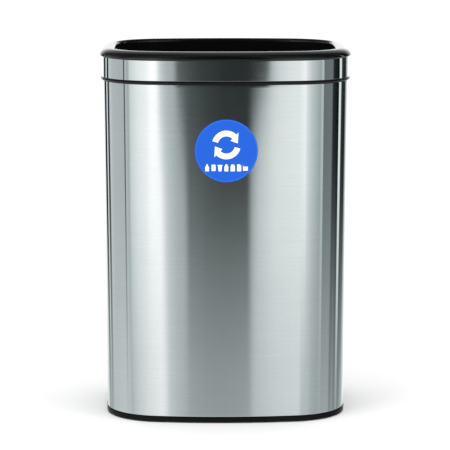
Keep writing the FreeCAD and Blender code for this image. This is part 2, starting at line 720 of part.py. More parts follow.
def make_liner_bucket():
    """Black lift-out bucket with drafted walls, a hanging lip, two pivot bosses and four bail shelves."""
    body = new_body("liner_bucket")
    foot_inset = "LinerInset + LinerDraft"
    bands = ("LinerBand", "LinerLipThickness")
    tub = tapered(body, "tub", ("LinerBottom", foot_inset), ("LinerTop", "LinerInset"), bands)
    fillet(body, "foot_round", tub, edges_at(tub, size("LinerBottom")), "LinerFootRadius")
    ring(
        body,
        "lip",
        "LinerTop - LinerLipThickness",
        "LinerLipThickness",
        "LinerLipInset",
        "LinerInset + LinerWall",
    )
    lip = body.Tip
    edges = edges_at(lip, size("LinerTop"), outside=corner_reach("LinerInset"))
    fillet(body, "lip_edge", lip, edges, "LinerLipEdge")
    floor = "(LinerBottom + LinerFloor)"
    low, high = (floor, f"{foot_inset} + LinerWall"), ("LinerTop", "LinerInset + LinerWall")
    bands = ("(LinerBand - LinerFloor)", "LinerLipThickness")
    hollow = tapered(body, "hollow", low, high, bands, cut=True)
    fillet(body, "hollow_round", hollow, edges_at(hollow, size(floor)), "LinerFootRadius - LinerWall")
    for side, reverse in (("right", False), ("left", True)):
        distance = "BossFace" if side == "right" else "-BossFace"
        boss = new_sketch(body, f"{side}_boss_outline", distance, plane="YZ_Plane")
        add_circles(boss, [("0", "PivotHeight")], "BossDiameter")
        wall = "BodyWidth / 2 - LinerInset - LinerWall - BossFace"
        pad(body, f"{side}_boss", boss, wall, reverse=reverse)
        seat = new_sketch(body, f"{side}_seat_outline", distance, plane="YZ_Plane")
        add_circles(seat, [("0", "PivotHeight")], "PinDiameter")
        pocket(body, f"{side}_seat", seat, "PinSeat", upwards=side == "right")
    shelf_top = "PivotHeight - BailWire / 2 - ShelfGap"
    shelves = new_sketch(body, "shelves_outline", f"{shelf_top} - ShelfHeight")
    drop = "LinerDraft * (LinerTop - PivotHeight) / (LinerTop - LinerBottom)"
    for side in (-1, 1):
        low = f"({side} * ShelfX - ShelfWidth / 2)"
        high = f"({side} * ShelfX + ShelfWidth / 2)"
        wall = front_y(f"LinerInset + {drop} + ShelfBite", "ShelfX + ShelfWidth / 2")
        add_rectangle(shelves, low, high, f"{wall} - ShelfDepth", wall)
        add_rectangle(shelves, low, high, f"-{wall}", f"-{wall} + ShelfDepth")
    pad(body, "shelves", shelves, "ShelfHeight")


def make_bail_pins():
    """Two headed pins pressed into the liner's bosses, which the bail turns on."""
    body = new_body("bail_pins")
    under_head = "BossFace - BailWire - 2 * PinGap"
    for side, reverse in (("right", False), ("left", True)):
        sign = "" if side == "right" else "-"
        shank = new_sketch(body, f"{side}_shank_outline", f"{sign}({under_head})", plane="YZ_Plane")
        add_circles(shank, [("0", "PivotHeight")], "PinDiameter")
        pad(body, f"{side}_shank", shank, f"BossFace + PinSeat - ({under_head})", reverse=reverse)
        head = new_sketch(body, f"{side}_head_outline", f"{sign}({under_head})", plane="YZ_Plane")
        add_circles(head, [("0", "PivotHeight")], "PinHead")
        pad(body, f"{side}_head", head, "PinHeadThickness", reverse=not reverse)


def make_bail_wire():
    """Wire bail that lies round the front half of the liner, with a flattened eye at each end."""
    body = new_body("bail_wire")
    path = new_sketch(body, "wire_path", "PivotHeight")
    x, reach, bend = size("BailX"), size("BailReach"), size("BailBend")
    straight = reach - bend
    up = Vector(0, 0, 1)
    quarter = math.pi / 2
    right_bend = Part.Circle(Vector(x - bend, -straight, 0), up, bend)
    left_bend = Part.Circle(Vector(bend - x, -straight, 0), up, bend)
    path.addGeometry(Part.LineSegment(Vector(x, 0, 0), Vector(x, -straight, 0)), False)
    path.addGeometry(Part.ArcOfCircle(right_bend, 3 * quarter, 4 * quarter), False)
    path.addGeometry(Part.LineSegment(Vector(x - bend, -reach, 0), Vector(bend - x, -reach, 0)), False)
    path.addGeometry(Part.ArcOfCircle(left_bend, 2 * quarter, 3 * quarter), False)
    path.addGeometry(Part.LineSegment(Vector(-x, -straight, 0), Vector(-x, 0, 0)), False)
    for first, first_end, second, second_end in (
        (0, END, 1, END),
        (1, START, 2, START),
        (2, END, 3, END),
        (3, START, 4, START),
    ):
        path.addConstraint(Sketcher.Constraint("Tangent", first, first_end, second, second_end))
    path.addConstraint(Sketcher.Constraint("PointOnObject", 0, START, X_AXIS))
    path.addConstraint(Sketcher.Constraint("PointOnObject", 4, END, X_AXIS))
    path.addConstraint(Sketcher.Constraint("Vertical", 0))
    path.addConstraint(Sketcher.Constraint("Vertical", 4))
    path.addConstraint(Sketcher.Constraint("Equal", 1, 3))
    dimension(path, "Radius", 1, value="BailBend")
    dimension(path, "DistanceX", *ORIGIN, 0, START, value="BailX")
    dimension(path, "DistanceX", 4, END, *ORIGIN, value="BailX")
    dimension(path, "DistanceY", 2, START, *ORIGIN, value="BailReach")
    section = new_sketch(body, "wire_section", "0", plane="XZ_Plane")
    add_circles(section, [("BailX", "PivotHeight")], "BailWire")
    wire = body.newObject("PartDesign::AdditivePipe", "wire")
    wire.Profile = section
    wire.Spine = (path, [])
    doc.recompute()
    for side in ("BailX", "-BailX"):
        name = "left" if side.startswith("-") else "right"
        eye = new_sketch(body, f"{name}_eye_outline", side, plane="YZ_Plane")
        add_circles(eye, [("0", "PivotHeight")], "EyeDiameter")
        pad(body, f"{name}_eye", eye, "EyeThickness", midplane=True)
        hole = new_sketch(body, f"{name}_hole_outline", side, plane="YZ_Plane")
        add_circles(hole, [("0", "PivotHeight")], "EyeHole")
        pocket(body, f"{name}_hole", hole, "BailWire + 2", midplane=True)


def make_bail_grip():
    """Plastic grip moulded round the middle of the bail."""
    body = new_body("bail_grip")
    outline = new_sketch(body, "grip_outline", "0", plane="YZ_Plane")
    place = [("-BailReach", "PivotHeight")]
    add_circles(outline, place, "GripDiameter")
    add_circles(outline, place, "BailWire")
    grip = pad(body, "grip", outline, "GripLength", midplane=True)
    rims = [
        f"Edge{number}"
        for number, edge in enumerate(grip.Shape.Edges, start=1)
        if isinstance(edge.Curve, Part.Circle) and edge.Curve.Radius > size("GripDiameter / 2") - NEAR
    ]
    fillet(body, "grip_ends", grip, rims, "GripDiameter / 6")


def export_pieces():
    """Checks every object and every piece, then writes one STEP file a piece."""
    doc.recompute()
    failed = [o.Name for o in doc.Objects if {"Invalid", "Error"} & set(o.State)]
    if failed:
        raise RuntimeError(f"these objects failed to build: {failed}")
    for piece in pieces:
        shape = piece.Shape
        if shape.isNull() or not shape.isValid() or not shape.Solids:
            raise RuntimeError(f"{piece.Label} is not a valid solid")
    os.makedirs(OUT, exist_ok=True)
    for piece in pieces:
        piece.Shape.exportStep(os.path.join(OUT, f"{piece.Label}.step"))
        print(f"{piece.Label}: {len(piece.Shape.Solids)} solid(s), {piece.Shape.Volume / 1000:.1f} cm3")


make_body_shell()
make_top_ring()
make_floor_pan()
make_base_skirt()
make_screws(
    "base_screws",
    BASE_SCREWS,
    "BaseScrewShank",
    "BaseScrewHead",
    "BaseScrewHeadHeight",
    PLATE_BOTTOM,
    "BaseScrewTip",
)
for corner, place in foot_places().items():
    make_foot(f"foot_{corner}", place)
make_screws(
    "foot_screws",
    list(foot_places().values()),
    "FootScrewShank",
    "FootScrewHead",
    "FootScrewHeadHeight",
    f"{PLATE_BOTTOM} - FootWeb",
    "FootScrewTip",
)
make_recycle_label()
make_seam_strip()
make_collar_band()
make_rim_moulding()
make_screws(
    "collar_screws",
    COLLAR_SCREWS,
    "CollarScrewShank",
    "CollarScrewHead",
    "CollarScrewHeadHeight",
    "CollarTop - SheetGauge",
    "CollarTop + CollarScrewReach",
)
make_grip_pads()
make_liner_bucket()
make_bail_pins()
make_bail_wire()
make_bail_grip()
export_pieces()
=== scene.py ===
"""Looks for the oval open-top recycling bin: walls, finishes, label, fixings, stage and camera.

Every wall of the bin follows one bowed, round-cornered outline. A wall is drawn as a closed profile of
(inset, height) points, in millimetres, and swept along that outline. Inset 0 is the outline at the top of the
shell; a positive inset moves a point towards the middle of the bin.
"""

import math

import bmesh
import bpy
from mathutils import Matrix, Vector


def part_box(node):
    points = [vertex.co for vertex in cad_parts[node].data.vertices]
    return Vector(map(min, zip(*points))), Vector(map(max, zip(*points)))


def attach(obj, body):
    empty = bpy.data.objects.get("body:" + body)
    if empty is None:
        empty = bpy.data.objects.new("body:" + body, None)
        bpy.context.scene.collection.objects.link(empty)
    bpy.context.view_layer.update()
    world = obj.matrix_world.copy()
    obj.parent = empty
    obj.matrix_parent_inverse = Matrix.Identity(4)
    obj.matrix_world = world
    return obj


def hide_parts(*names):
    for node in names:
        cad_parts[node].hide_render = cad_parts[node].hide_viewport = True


bl_info = {
    "name": "Oval recycling bin",
    "version": (1, 0, 0),
    "blender": (4, 5, 0),
    "location": "View3D > Sidebar > Bin",
    "description": "Builds the looks of an oval open-top recycling bin around its packed frame",
    "category": "Object",
}

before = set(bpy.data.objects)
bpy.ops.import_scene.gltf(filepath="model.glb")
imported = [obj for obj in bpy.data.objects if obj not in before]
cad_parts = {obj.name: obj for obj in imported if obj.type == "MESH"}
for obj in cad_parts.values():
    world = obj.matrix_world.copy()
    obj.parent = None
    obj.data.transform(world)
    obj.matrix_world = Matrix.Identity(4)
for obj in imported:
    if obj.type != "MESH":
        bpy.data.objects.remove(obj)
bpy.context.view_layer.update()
MM = 0.001


def node_box(node):
    """Lowest and highest corner of a CAD node, in millimetres."""
    low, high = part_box(node)
    return low / MM, high / MM


SHELL_LOW, SHELL_HIGH = node_box("body_shell")
RING_LOW, RING_HIGH = node_box("top_ring")
COLLAR_LOW, COLLAR_HIGH = node_box("collar_band")
RIM_LOW, RIM_HIGH = node_box("rim_moulding")
BASE_LOW, BASE_HIGH = node_box("base_skirt")
LINER_LOW, LINER_HIGH = node_box("liner_bucket")
LABEL_LOW, LABEL_HIGH = node_box("recycle_label")
SEAM_LOW, SEAM_HIGH = node_box("seam_strip")
GRIP_LOW, GRIP_HIGH = node_box("bail_grip")

# The body outline, at the top of the shell.
HALF_WIDTH, HALF_DEPTH = SHELL_HIGH.x, SHELL_HIGH.y
FRONT_RADIUS = 720.0
SIDE_RADIUS = 2000.0
CORNER_RADIUS = 98.0
# How far the shell draws in towards its foot, and the straight bands at its two ends.
TAPER = 5.25
HEM_BAND = 6.0
GAUGE = 0.8
# The ledge of the ring, which the collar stands on.
LEDGE_TOP = COLLAR_LOW.z - 0.3
# The bail's pivot in the liner, and the faces of its bosses.
PIVOT_HEIGHT = (GRIP_LOW.z + GRIP_HIGH.z) / 2
BOSS_FACE, BOSS_RADIUS = 174.0, 7.5
PIN_HOLE_RADIUS, PIN_HOLE_DEPTH = 2.55, 5.2
LINER_INSET, LINER_DRAFT, LINER_WALL, LINER_FLOOR = 12.9, 12.0, 2.2, 2.5
# Fixings: how far in from the outline they stand, and how far from the middle.
BASE_SCREW_INSET, BASE_SCREW_ACROSS = TAPER + 6.5, 90.0
COLLAR_SCREW_INSET, COLLAR_SCREW_ACROSS = 5.5, 96.0
FOOT_X, FOOT_Y = 126.0, 100.0
# The ribs under the base, and the shelves that the liner's bail rests on.
RIB_WIDTH, RIB_HEIGHT, RIB_MIDDLE = 2.4, 3.9, 4.85
CROSS_RIB, LONG_RIB = 262.0, 359.5
SHELF_X, SHELF_SIZE, SHELF_BITE, SHELF_DROP = 80.0, (14.0, 17.0, 6.0), 1.1, 2.8
# A row's pitch is held a hair under its size, so that rounding never drops the last part.
PITCH_HOLD = 0.9999
# How far the seam strip's face stands proud of the shell, and how far its end welds are from its ends.
SEAM_FACE, WELD_MARGIN = 0.72, 14.0
# Where the label's ink starts, measured out from the shell, and how thick it is.
INK_START, INK_THICKNESS = 0.32, 0.16


# ------------------------------------------------------------------------------
# Sizes and colours that a user would change
# ------------------------------------------------------------------------------


def length(name, description, default):
    return bpy.props.FloatProperty(
        name=name, description=description, default=default, min=0.0, unit="LENGTH", subtype="DISTANCE"
    )


def steps(name, description, default):
    return bpy.props.IntProperty(name=name, description=description, default=default, min=4)


def colour(name, description, default):
    return bpy.props.FloatVectorProperty(
        name=name, description=description, default=default, size=3, min=0.0, max=1.0, subtype="COLOR"
    )


class BinSizes(bpy.types.PropertyGroup):
    """Sizes of the details that the frame leaves open."""

    hem_radius: length("Hem radius", "Radius of the shell's rolled edges", 0.002)
    corner_steps: steps("Corner steps", "Segments in each rounded corner of the outline", 96)
    face_steps: steps("Face steps", "Segments along the front and along the back", 44)
    side_steps: steps("Side steps", "Segments along each side", 10)
    weld_pitch: length("Weld pitch", "Distance between spot welds on the seam strip", 0.036)
    weld_size: length("Weld size", "Diameter of a spot weld's dimple", 0.0052)
    weld_rows: length("Weld rows", "Distance between the two rows of spot welds", 0.0098)
    rib_pitch: length("Rib pitch", "Distance between the cross ribs under the base", 0.056)
    ridge_pitch: length("Ridge pitch", "Distance between the ridges of the bail's grip", 0.008)
    print_step: length("Print step", "Width of the strips that bend the label's print to the front", 0.0025)


class BinColours(bpy.types.PropertyGroup):
    """Colours of the finishes."""

    steel: colour("Steel", "Brushed stainless steel", (0.70, 0.73, 0.73))
    label_blue: colour("Label blue", "Printed ground of the label", (0.008, 0.102, 0.590))
    # Painted highlight: a lighter blue line round the label's edge stands in for the sheen on that edge.
    label_border: colour("Label edge highlight", "Thin line round the label", (0.020, 0.140, 0.740))
    label_white: colour("Label white", "Pictograms on the label", (0.93, 0.94, 0.95))
    black: colour("Black", "Black mouldings", (0.0042, 0.0045, 0.0048))


# ------------------------------------------------------------------------------
# The outline and the walls that follow it
# ------------------------------------------------------------------------------


def outline_arcs():
    """The outline as (centre x, centre y, radius, start angle, end angle, kind) arcs, anticlockwise."""
    front_y, side_x = FRONT_RADIUS - HALF_DEPTH, HALF_WIDTH - SIDE_RADIUS
    # The corner's arc touches the front's arc and the side's arc from inside.
    reach_front, reach_side = FRONT_RADIUS - CORNER_RADIUS, SIDE_RADIUS - CORNER_RADIUS
    between = Vector((side_x, -front_y))
    gap = between.length
    along = (reach_front**2 - reach_side**2 + gap**2) / (2 * gap)
    across = math.sqrt(reach_front**2 - along**2)
    unit = between / gap
    corner = Vector((0, front_y)) + unit * along + Vector((-unit.y, unit.x)) * across
    side = math.atan2(corner.y, corner.x - side_x)
    front = math.atan2(corner.y - front_y, corner.x)
    x, y, turn = corner.x, corner.y, math.pi
    return [
        (side_x, 0, SIDE_RADIUS, side, -side, "side"),
        (x, -y, CORNER_RADIUS, -side, -front, "corner"),
        (0, -front_y, FRONT_RADIUS, -front, turn + front, "face"),
        (-x, -y, CORNER_RADIUS, turn + front, turn + side, "corner"),
        (-side_x, 0, SIDE_RADIUS, turn + side, turn - side, "side"),
        (-x, y, CORNER_RADIUS, turn - side, turn - front, "corner"),
        (0, front_y, FRONT_RADIUS, turn - front, 2 * turn + front, "face"),
        (x, y, CORNER_RADIUS, front, side, "corner"),
    ]


def outline_points(inset, sizes):
    """(x, y) points round the outline moved in by inset, and the outward direction at each."""
    counts = {"side": sizes.side_steps, "corner": sizes.corner_steps, "face": sizes.face_steps}
    points, directions = [], []
    for x, y, radius, start, end, kind in outline_arcs():
        for step in range(counts[kind]):
            angle = start + (end - start) * step / counts[kind]
            direction = Vector((math.cos(angle), math.sin(angle)))
            points.append(Vector((x, y)) + direction * (radius - inset))
            directions.append(direction)
    return points, directions


def face_reach(inset, across):
    """How far in front of or behind the middle a face of the outline runs, at a distance from the middle."""
    return math.sqrt((FRONT_RADIUS - inset) ** 2 - across**2) - FRONT_RADIUS + HALF_DEPTH


def shell_inset(height):
    """Inset of the shell's tapered outside at a height."""
    span = SHELL_HIGH.z - SHELL_LOW.z - 2 * HEM_BAND
    return TAPER * (SHELL_HIGH.z - HEM_BAND - height) / span


def perimeter_places(inset, across):
    """Six fixing places that follow the outline: two in front, two behind and one at each end."""
    reach, end = face_reach(inset, across), HALF_WIDTH - inset
    return [(across, reach), (across, -reach), (-across, reach), (-across, -reach), (end, 0), (-end, 0)]


def fillet(before, corner, after, radius, steps):
    """Points of an arc that rounds the corner of a profile."""
    corner = Vector(corner)
    to_before = (Vector(before) - corner).normalized()
    to_after = (Vector(after) - corner).normalized()
    half = to_before.angle(to_after) / 2
    reach = radius / math.tan(half)
    start, end = corner + to_before * reach, corner + to_after * reach
    middle = corner + (to_before + to_after).normalized() * (radius / math.sin(half))
    first, last = start - middle, end - middle
    sweep = first.angle_signed(last)
    made = []
    for step in range(steps + 1):
        angle = -sweep * step / steps
        cos, sin = math.cos(angle), math.sin(angle)
        made.append(middle + Vector((first.x * cos - first.y * sin, first.x * sin + first.y * cos)))
    return made


def rounded(corners, steps=6):
    """A profile from (inset, height, radius) corners; radius 0 leaves a corner sharp."""
    profile = []
    for number, (inset, height, radius) in enumerate(corners):
        if not radius:
            profile.append(Vector((inset, height)))
            continue
        before = corners[number - 1][:2]
        after = corners[(number + 1) % len(corners)][:2]
        profile += fillet(before, (inset, height), after, radius, steps)
    return profile


def bezier(points, steps):
    """Points along a cubic curve, without its last one."""
    made = []
    for step in range(steps):
        t = step / steps
        shares = ((1 - t) ** 3, 3 * t * (1 - t) ** 2, 3 * t**2 * (1 - t), t**3)
        made.append(sum((Vector(point) * share for point, share in zip(points, shares)), Vector((0, 0))))
    return made


# ------------------------------------------------------------------------------
# Nodes
# ------------------------------------------------------------------------------


class NodeMaker:
    """Short calls for adding nodes to a tree."""

    def __init__(self, tree):
        self.nodes, self.links = tree.nodes, tree.links

    def node(self, kind, inputs=None, **settings):
        """Adds a node; inputs gives a socket, by name or number, a value or another node's output."""
        made = self.nodes.new(kind)
        for name, value in settings.items():
            setattr(made, name, value)
        for socket, value in (inputs or {}).items():
            self.feed(made.inputs[socket], value)
        return made

    def feed(self, socket, value):
        if isinstance(value, bpy.types.NodeSocket):
            self.links.new(value, socket)
        else:
            socket.default_value = value

    def math(self, operation, *values):
        return self.node("ShaderNodeMath", dict(enumerate(values)), operation=operation).outputs[0]

    def spread(self, value, low, high, from_low=0.0, from_high=1.0, easing="LINEAR"):
        """Maps a value from one range to another, held at both ends."""
        inputs = {"Value": value, "From Min": from_low, "From Max": from_high, "To Min": low, "To Max": high}
        return self.node("ShaderNodeMapRange", inputs, interpolation_type=easing).outputs["Result"]

    def mix(self, factor, first, second):
        """Mixes two colours."""
        return self.node("ShaderNodeMix", {0: factor, 6: first, 7: second}, data_type="RGBA").outputs[2]


class GeometryTree(NodeMaker):
    """A Geometry Nodes tree with named inputs, which ends in realized instances with one material."""

    def __init__(self, name, **inputs):
        """inputs pairs each named input with its socket type and its default."""
        self.group = bpy.data.node_groups.new(name, "GeometryNodeTree")
        super().__init__(self.group)
        interface = self.group.interface
        interface.new_socket("Geometry", in_out="INPUT", socket_type="NodeSocketGeometry")
        interface.new_socket("Geometry", in_out="OUTPUT", socket_type="NodeSocketGeometry")
        self.identifiers = {}
        for label, (kind, default) in {**inputs, "Finish": ("Material", None)}.items():
            socket = interface.new_socket(label, in_out="INPUT", socket_type=f"NodeSocket{kind}")
            if default is not None:
                socket.default_value = default
            self.identifiers[label] = socket.identifier
        self.given = self.nodes.new("NodeGroupInput").outputs

    def part(self, label):
        """Geometry of the object that a named input holds."""
        return self.node("GeometryNodeObjectInfo", {"Object": self.given[label]}).outputs["Geometry"]

    def finish(self, geometry):
        realized = self.node("GeometryNodeRealizeInstances", {"Geometry": geometry}).outputs["Geometry"]
        inputs = {"Geometry": realized, "Material": self.given["Finish"]}
        painted = self.node("GeometryNodeSetMaterial", inputs).outputs["Geometry"]
        self.node("NodeGroupOutput", {"Geometry": painted})


def wall_tree():
    """Sweeps a profile along the outline, square to the outward direction kept on each of its points."""
    tree = GeometryTree("wall_along_outline", Profile=("Object", None))
    path = tree.node("GeometryNodeMeshToCurve", {"Mesh": tree.given["Geometry"]}).outputs["Curve"]
    outward = tree.node("GeometryNodeInputNamedAttribute", {"Name": "outward"}, data_type="FLOAT_VECTOR")
    facing = {"Curve": path, "Normal": outward.outputs["Attribute"]}
    path = tree.node("GeometryNodeSetCurveNormal", facing, mode="FREE").outputs["Curve"]
    profile = tree.node("GeometryNodeMeshToCurve", {"Mesh": tree.part("Profile")}).outputs["Curve"]
    inputs = {"Curve": path, "Profile Curve": profile}
    tree.finish(tree.node("GeometryNodeCurveToMesh", inputs).outputs["Mesh"])
    return tree


def row_tree():
    """Sets copies of a part along a straight line at a fixed pitch."""
    tree = GeometryTree(
        "row_of_parts",
        Part=("Object", None),
        Start=("Vector", (0, 0, 0)),
        End=("Vector", (0, 0, 1)),
        Pitch=("Float", 0.01),
    )
    ends = {"Start Location": tree.given["Start"], "Offset": tree.given["End"]}
    inputs = {"Resolution": tree.given["Pitch"], **ends}
    line = tree.node("GeometryNodeMeshLine", inputs, mode="END_POINTS", count_mode="RESOLUTION")
    inputs = {"Points": line.outputs["Mesh"], "Instance": tree.part("Part")}
    tree.finish(tree.node("GeometryNodeInstanceOnPoints", inputs).outputs["Instances"])
    return tree


def places_tree():
    """Sets a copy of a part on every point of a mesh, each turned by a seeded share of Spin."""
    tree = GeometryTree("parts_on_places", Part=("Object", None), Spin=("Vector", (0, 0, 0)), Seed=("Int", 7))
    spin = {0: (0, 0, 0), 1: tree.given["Spin"], "Seed": tree.given["Seed"]}
    turn = tree.node("FunctionNodeRandomValue", spin, data_type="FLOAT_VECTOR").outputs[0]
    rotation = tree.node("FunctionNodeEulerToRotation", {"Euler": turn}).outputs["Rotation"]
    inputs = {"Points": tree.given["Geometry"], "Instance": tree.part("Part"), "Rotation": rotation}
    tree.finish(tree.node("GeometryNodeInstanceOnPoints", inputs).outputs["Instances"])
    return tree


def grow(name, tree, base, material, **values):
    """The plain mesh that a tree makes from a base mesh, with its named inputs set."""
    carrier = bpy.data.objects.new(f"{name}_carrier", base)
    bpy.context.scene.collection.objects.link(carrier)
    modifier = carrier.modifiers.new("growth", "NODES")
    modifier.node_group = tree.group
    for label, value in {**values, "Finish": material}.items():
        modifier[tree.identifiers[label]] = value
    depsgraph = bpy.context.evaluated_depsgraph_get()
    made = bpy.data.meshes.new_from_object(carrier.evaluated_get(depsgraph))
    carrier.modifiers.remove(modifier)
    bpy.data.objects.remove(carrier)
    if not made.polygons:
        raise RuntimeError(f"{name}: its tree made no faces")
    return made


# ------------------------------------------------------------------------------
# Meshes
# ------------------------------------------------------------------------------


def mesh_of(name, made):
    """A mesh from a bmesh, with its faces turned outwards."""
    bmesh.ops.recalc_face_normals(made, faces=made.faces)
    mesh = bpy.data.meshes.new(name)
    made.to_mesh(mesh)
    made.free()
    return mesh


def part_object(name, made):
    """An unlinked object that a tree copies."""
    return bpy.data.objects.new(name, mesh_of(name, made))


def point_mesh(name, places):
    mesh = bpy.data.meshes.new(name)
    mesh.from_pydata([Vector(place) * MM for place in places], [], [])
    return mesh


def loop_mesh(name, points):
    """A closed chain of edges, which a tree reads as a curve."""
    mesh = bpy.data.meshes.new(name)
    count = len(points)
    mesh.from_pydata(points, [(n, (n + 1) % count) for n in range(count)], [])
    return mesh


def weighted(mesh, sharp):
    """The mesh with smooth shading that large faces lead, so that flat walls reflect as flat."""
    mesh.polygons.foreach_set("use_smooth", [True] * len(mesh.polygons))
    mesh.set_sharp_from_angle(angle=math.radians(sharp))
    carrier = bpy.data.objects.new("shading_carrier", mesh)
    bpy.context.scene.collection.objects.link(carrier)
    modifier = carrier.modifiers.new("shading", "WEIGHTED_NORMAL")
    modifier.keep_sharp = True
    depsgraph = bpy.context.evaluated_depsgraph_get()
    made = bpy.data.meshes.new_from_object(carrier.evaluated_get(depsgraph))
    carrier.modifiers.remove(modifier)
    bpy.data.objects.remove(carrier)
    return made


def finish_piece(name, mesh, body, material, replaces=(), sharp=32):
    """Turns a mesh into a piece of the bin that rides on a body."""
    mesh.materials.clear()
    mesh.materials.append(material)
    mesh = weighted(mesh, sharp)
    mesh.name = name
    piece = bpy.data.objects.new(name, mesh)
    bpy.context.scene.collection.objects.link(piece)
    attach(piece, body)
    if replaces:
        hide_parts(*replaces)
    return piece


def wall(name, profile, sizes, material):
    """A closed wall: the profile carried round the outline."""
    points, directions = outline_points(0, sizes)
    path = loop_mesh(f"{name}_path", [(p.x * MM, p.y * MM, 0) for p in points])
    outward = path.attributes.new("outward", "FLOAT_VECTOR", "POINT")
    for item, direction in zip(outward.data, directions):
        item.vector = (direction.x, direction.y, 0)
    # The sweep lays the profile's X outwards and its Y downwards.
    section = loop_mesh(f"{name}_profile", [(-inset * MM, -height * MM, 0) for inset, height in profile])
    section = bpy.data.objects.new(f"{name}_profile", section)
    mesh = grow(name, wall_tree(), path, material, Profile=section)
    bpy.data.objects.remove(section)
    made = bmesh.new()
    made.from_mesh(mesh)
    return mesh_of(name, made)


def dish(profile, sizes):
    """A dish: an open profile carried round the outline, with both ends closed by flat faces."""
    made = bmesh.new()
    rings = []
    for inset, height in profile:
        points, _ = outline_points(inset, sizes)
        rings.append([made.verts.new((p.x * MM, p.y * MM, height * MM)) for p in points])
    for here, there in zip(rings, rings[1:]):
        bridge(made, here, there)
    made.faces.new(rings[0])
    made.faces.new(rings[-1])
    return made


def bridge(made, here, there):
    """Faces between two rings of vertices; a ring of one vertex is a pole."""
    count = max(len(here), len(there))
    for number in range(count):
        following = (number + 1) % count
        corners = [here[number % len(here)], here[following % len(here)]]
        corners += [there[following % len(there)], there[number % len(there)]]
        made.faces.new(list(dict.fromkeys(corners)))


def turned(profile, sides=32, closed=False):
    """A solid of revolution about Z, from (radius, height) points in millimetres.

    A third number on a point gives its ring four lobes, as in a cross recess. An open profile starts and ends
    on the axis, a closed one runs round a hole.
    """
    made = bmesh.new()
    rings = []
    for radius, height, *lobing in profile:
        count = sides if radius else 1
        ring = []
        for number in range(count):
            angle = 2 * math.pi * number / count
            reach = radius * (1 + sum(lobing) * math.cos(4 * angle))
            x, y = reach * math.cos(angle), reach * math.sin(angle)
            ring.append(made.verts.new((x * MM, y * MM, height * MM)))
        rings.append(ring)
    following = rings[1:] + rings[:1] if closed else rings[1:]
    for here, there in zip(rings, following):
        bridge(made, here, there)
    return made


def facing(made, axis):
    """Turns a bmesh so that its Z points along an axis."""
    turn = Vector((0, 0, 1)).rotation_difference(Vector(axis)).to_matrix()
    bmesh.ops.rotate(made, matrix=turn, verts=made.verts)
    return made


def block(size, edge):
    """A block with rounded edges, centred on the origin, in millimetres."""
    made = bmesh.new()
    bmesh.ops.create_cube(made, size=1.0, matrix=Matrix.Diagonal((*(Vector(size) * MM), 1.0)))
    bmesh.ops.bevel(made, geom=list(made.edges), offset=edge * MM, segments=3, profile=0.5, affect="EDGES")
    return made


def screw(seat, head, thickness, shank, tip):
    """A pan-head screw that points up from its seat, with a cross recess in the head."""
    radius, low, half = head / 2, seat - thickness, shank / 2
    profile = [
        (0, tip),
        (half * 0.35, tip),
        (half, tip - half * 1.6),
        (half, seat),
        (radius, seat),
        (radius, seat - thickness * 0.4),
        (radius * 0.93, low + thickness * 0.22),
        (radius * 0.72, low),
        (radius * 0.40, low, 0.3),
        (radius * 0.30, low + thickness * 0.5, 0.3),
        (0, low + thickness * 0.55),
    ]
    return turned(profile)


# ------------------------------------------------------------------------------
# Finishes
# ------------------------------------------------------------------------------


class Finish(NodeMaker):
    """A node material, with short calls for what these finishes need."""

    def __init__(self, name):
        self.material = bpy.data.materials.new(name)
        self.material.use_nodes = True
        super().__init__(self.material.node_tree)
        self.shader = self.nodes["Principled BSDF"]
        self.place = self.node("ShaderNodeTexCoord").outputs["Object"]

    def set(self, **values):
        for name, value in values.items():
            self.feed(self.shader.inputs[name.replace("_", " ")], value)

    def noise(self, scale, detail=3.0, roughness=0.55, seed=0.0):
        """Noise whose size along X, Y and Z is set apart, in features a metre."""
        shift = (seed, seed * 0.7, seed * 1.3)
        mapping = self.node("ShaderNodeMapping", {"Vector": self.place, "Scale": scale, "Location": shift})
        inputs = {"Vector": mapping.outputs["Vector"], "Scale": 1.0, "Detail": detail, "Roughness": roughness}
        return self.node("ShaderNodeTexNoise", inputs).outputs["Fac"]

    def bump(self, height, strength, distance):
        inputs = {"Height": height, "Strength": strength, "Distance": distance}
        self.set(Normal=self.node("ShaderNodeBump", inputs).outputs["Normal"])

    def tint(self, base, variation, factor):
        """Base colour that drifts a little between darker and lighter."""
        darker, lighter = scaled(base, 1 - variation), scaled(base, 1 + variation)
        self.set(Base_Color=self.mix(factor, (*darker, 1.0), (*lighter, 1.0)))


def scaled(base, factor):
    return tuple(min(1.0, channel * factor) for channel in base)


def brushed_steel(name, base, along=(6.0, 6.0, 1700.0), roughness=(0.055, 0.085), upright=False):
    """Satin stainless steel with a fine grain; along gives the grain's features a metre on X, Y and Z."""
    finish = Finish(name)
    finish.set(Metallic=1.0, Anisotropic=0.9, Anisotropic_Rotation=0.0 if upright else 0.25)
    grain = finish.noise(along, detail=4.0, roughness=0.7)
    speckle = finish.noise((700.0, 700.0, 1200.0), detail=3.0, seed=4.0)
    cloud = finish.noise((9.0, 9.0, 14.0), detail=2.0, seed=9.0)
    mixed = finish.math("MULTIPLY_ADD", speckle, 0.5, finish.math("MULTIPLY", grain, 0.5))
    drift = finish.math("MULTIPLY_ADD", cloud, 0.15, finish.math("MULTIPLY", mixed, 0.85))
    finish.tint(base, 0.10, finish.spread(drift, 0.0, 1.0, 0.3, 0.7))
    finish.set(Roughness=finish.spread(mixed, *roughness, 0.3, 0.7))
    finish.bump(grain, 0.03, 0.0002)
    tangent = finish.node("ShaderNodeTangent", direction_type="RADIAL", axis="Z")
    finish.set(Tangent=tangent.outputs["Tangent"])
    return finish.material


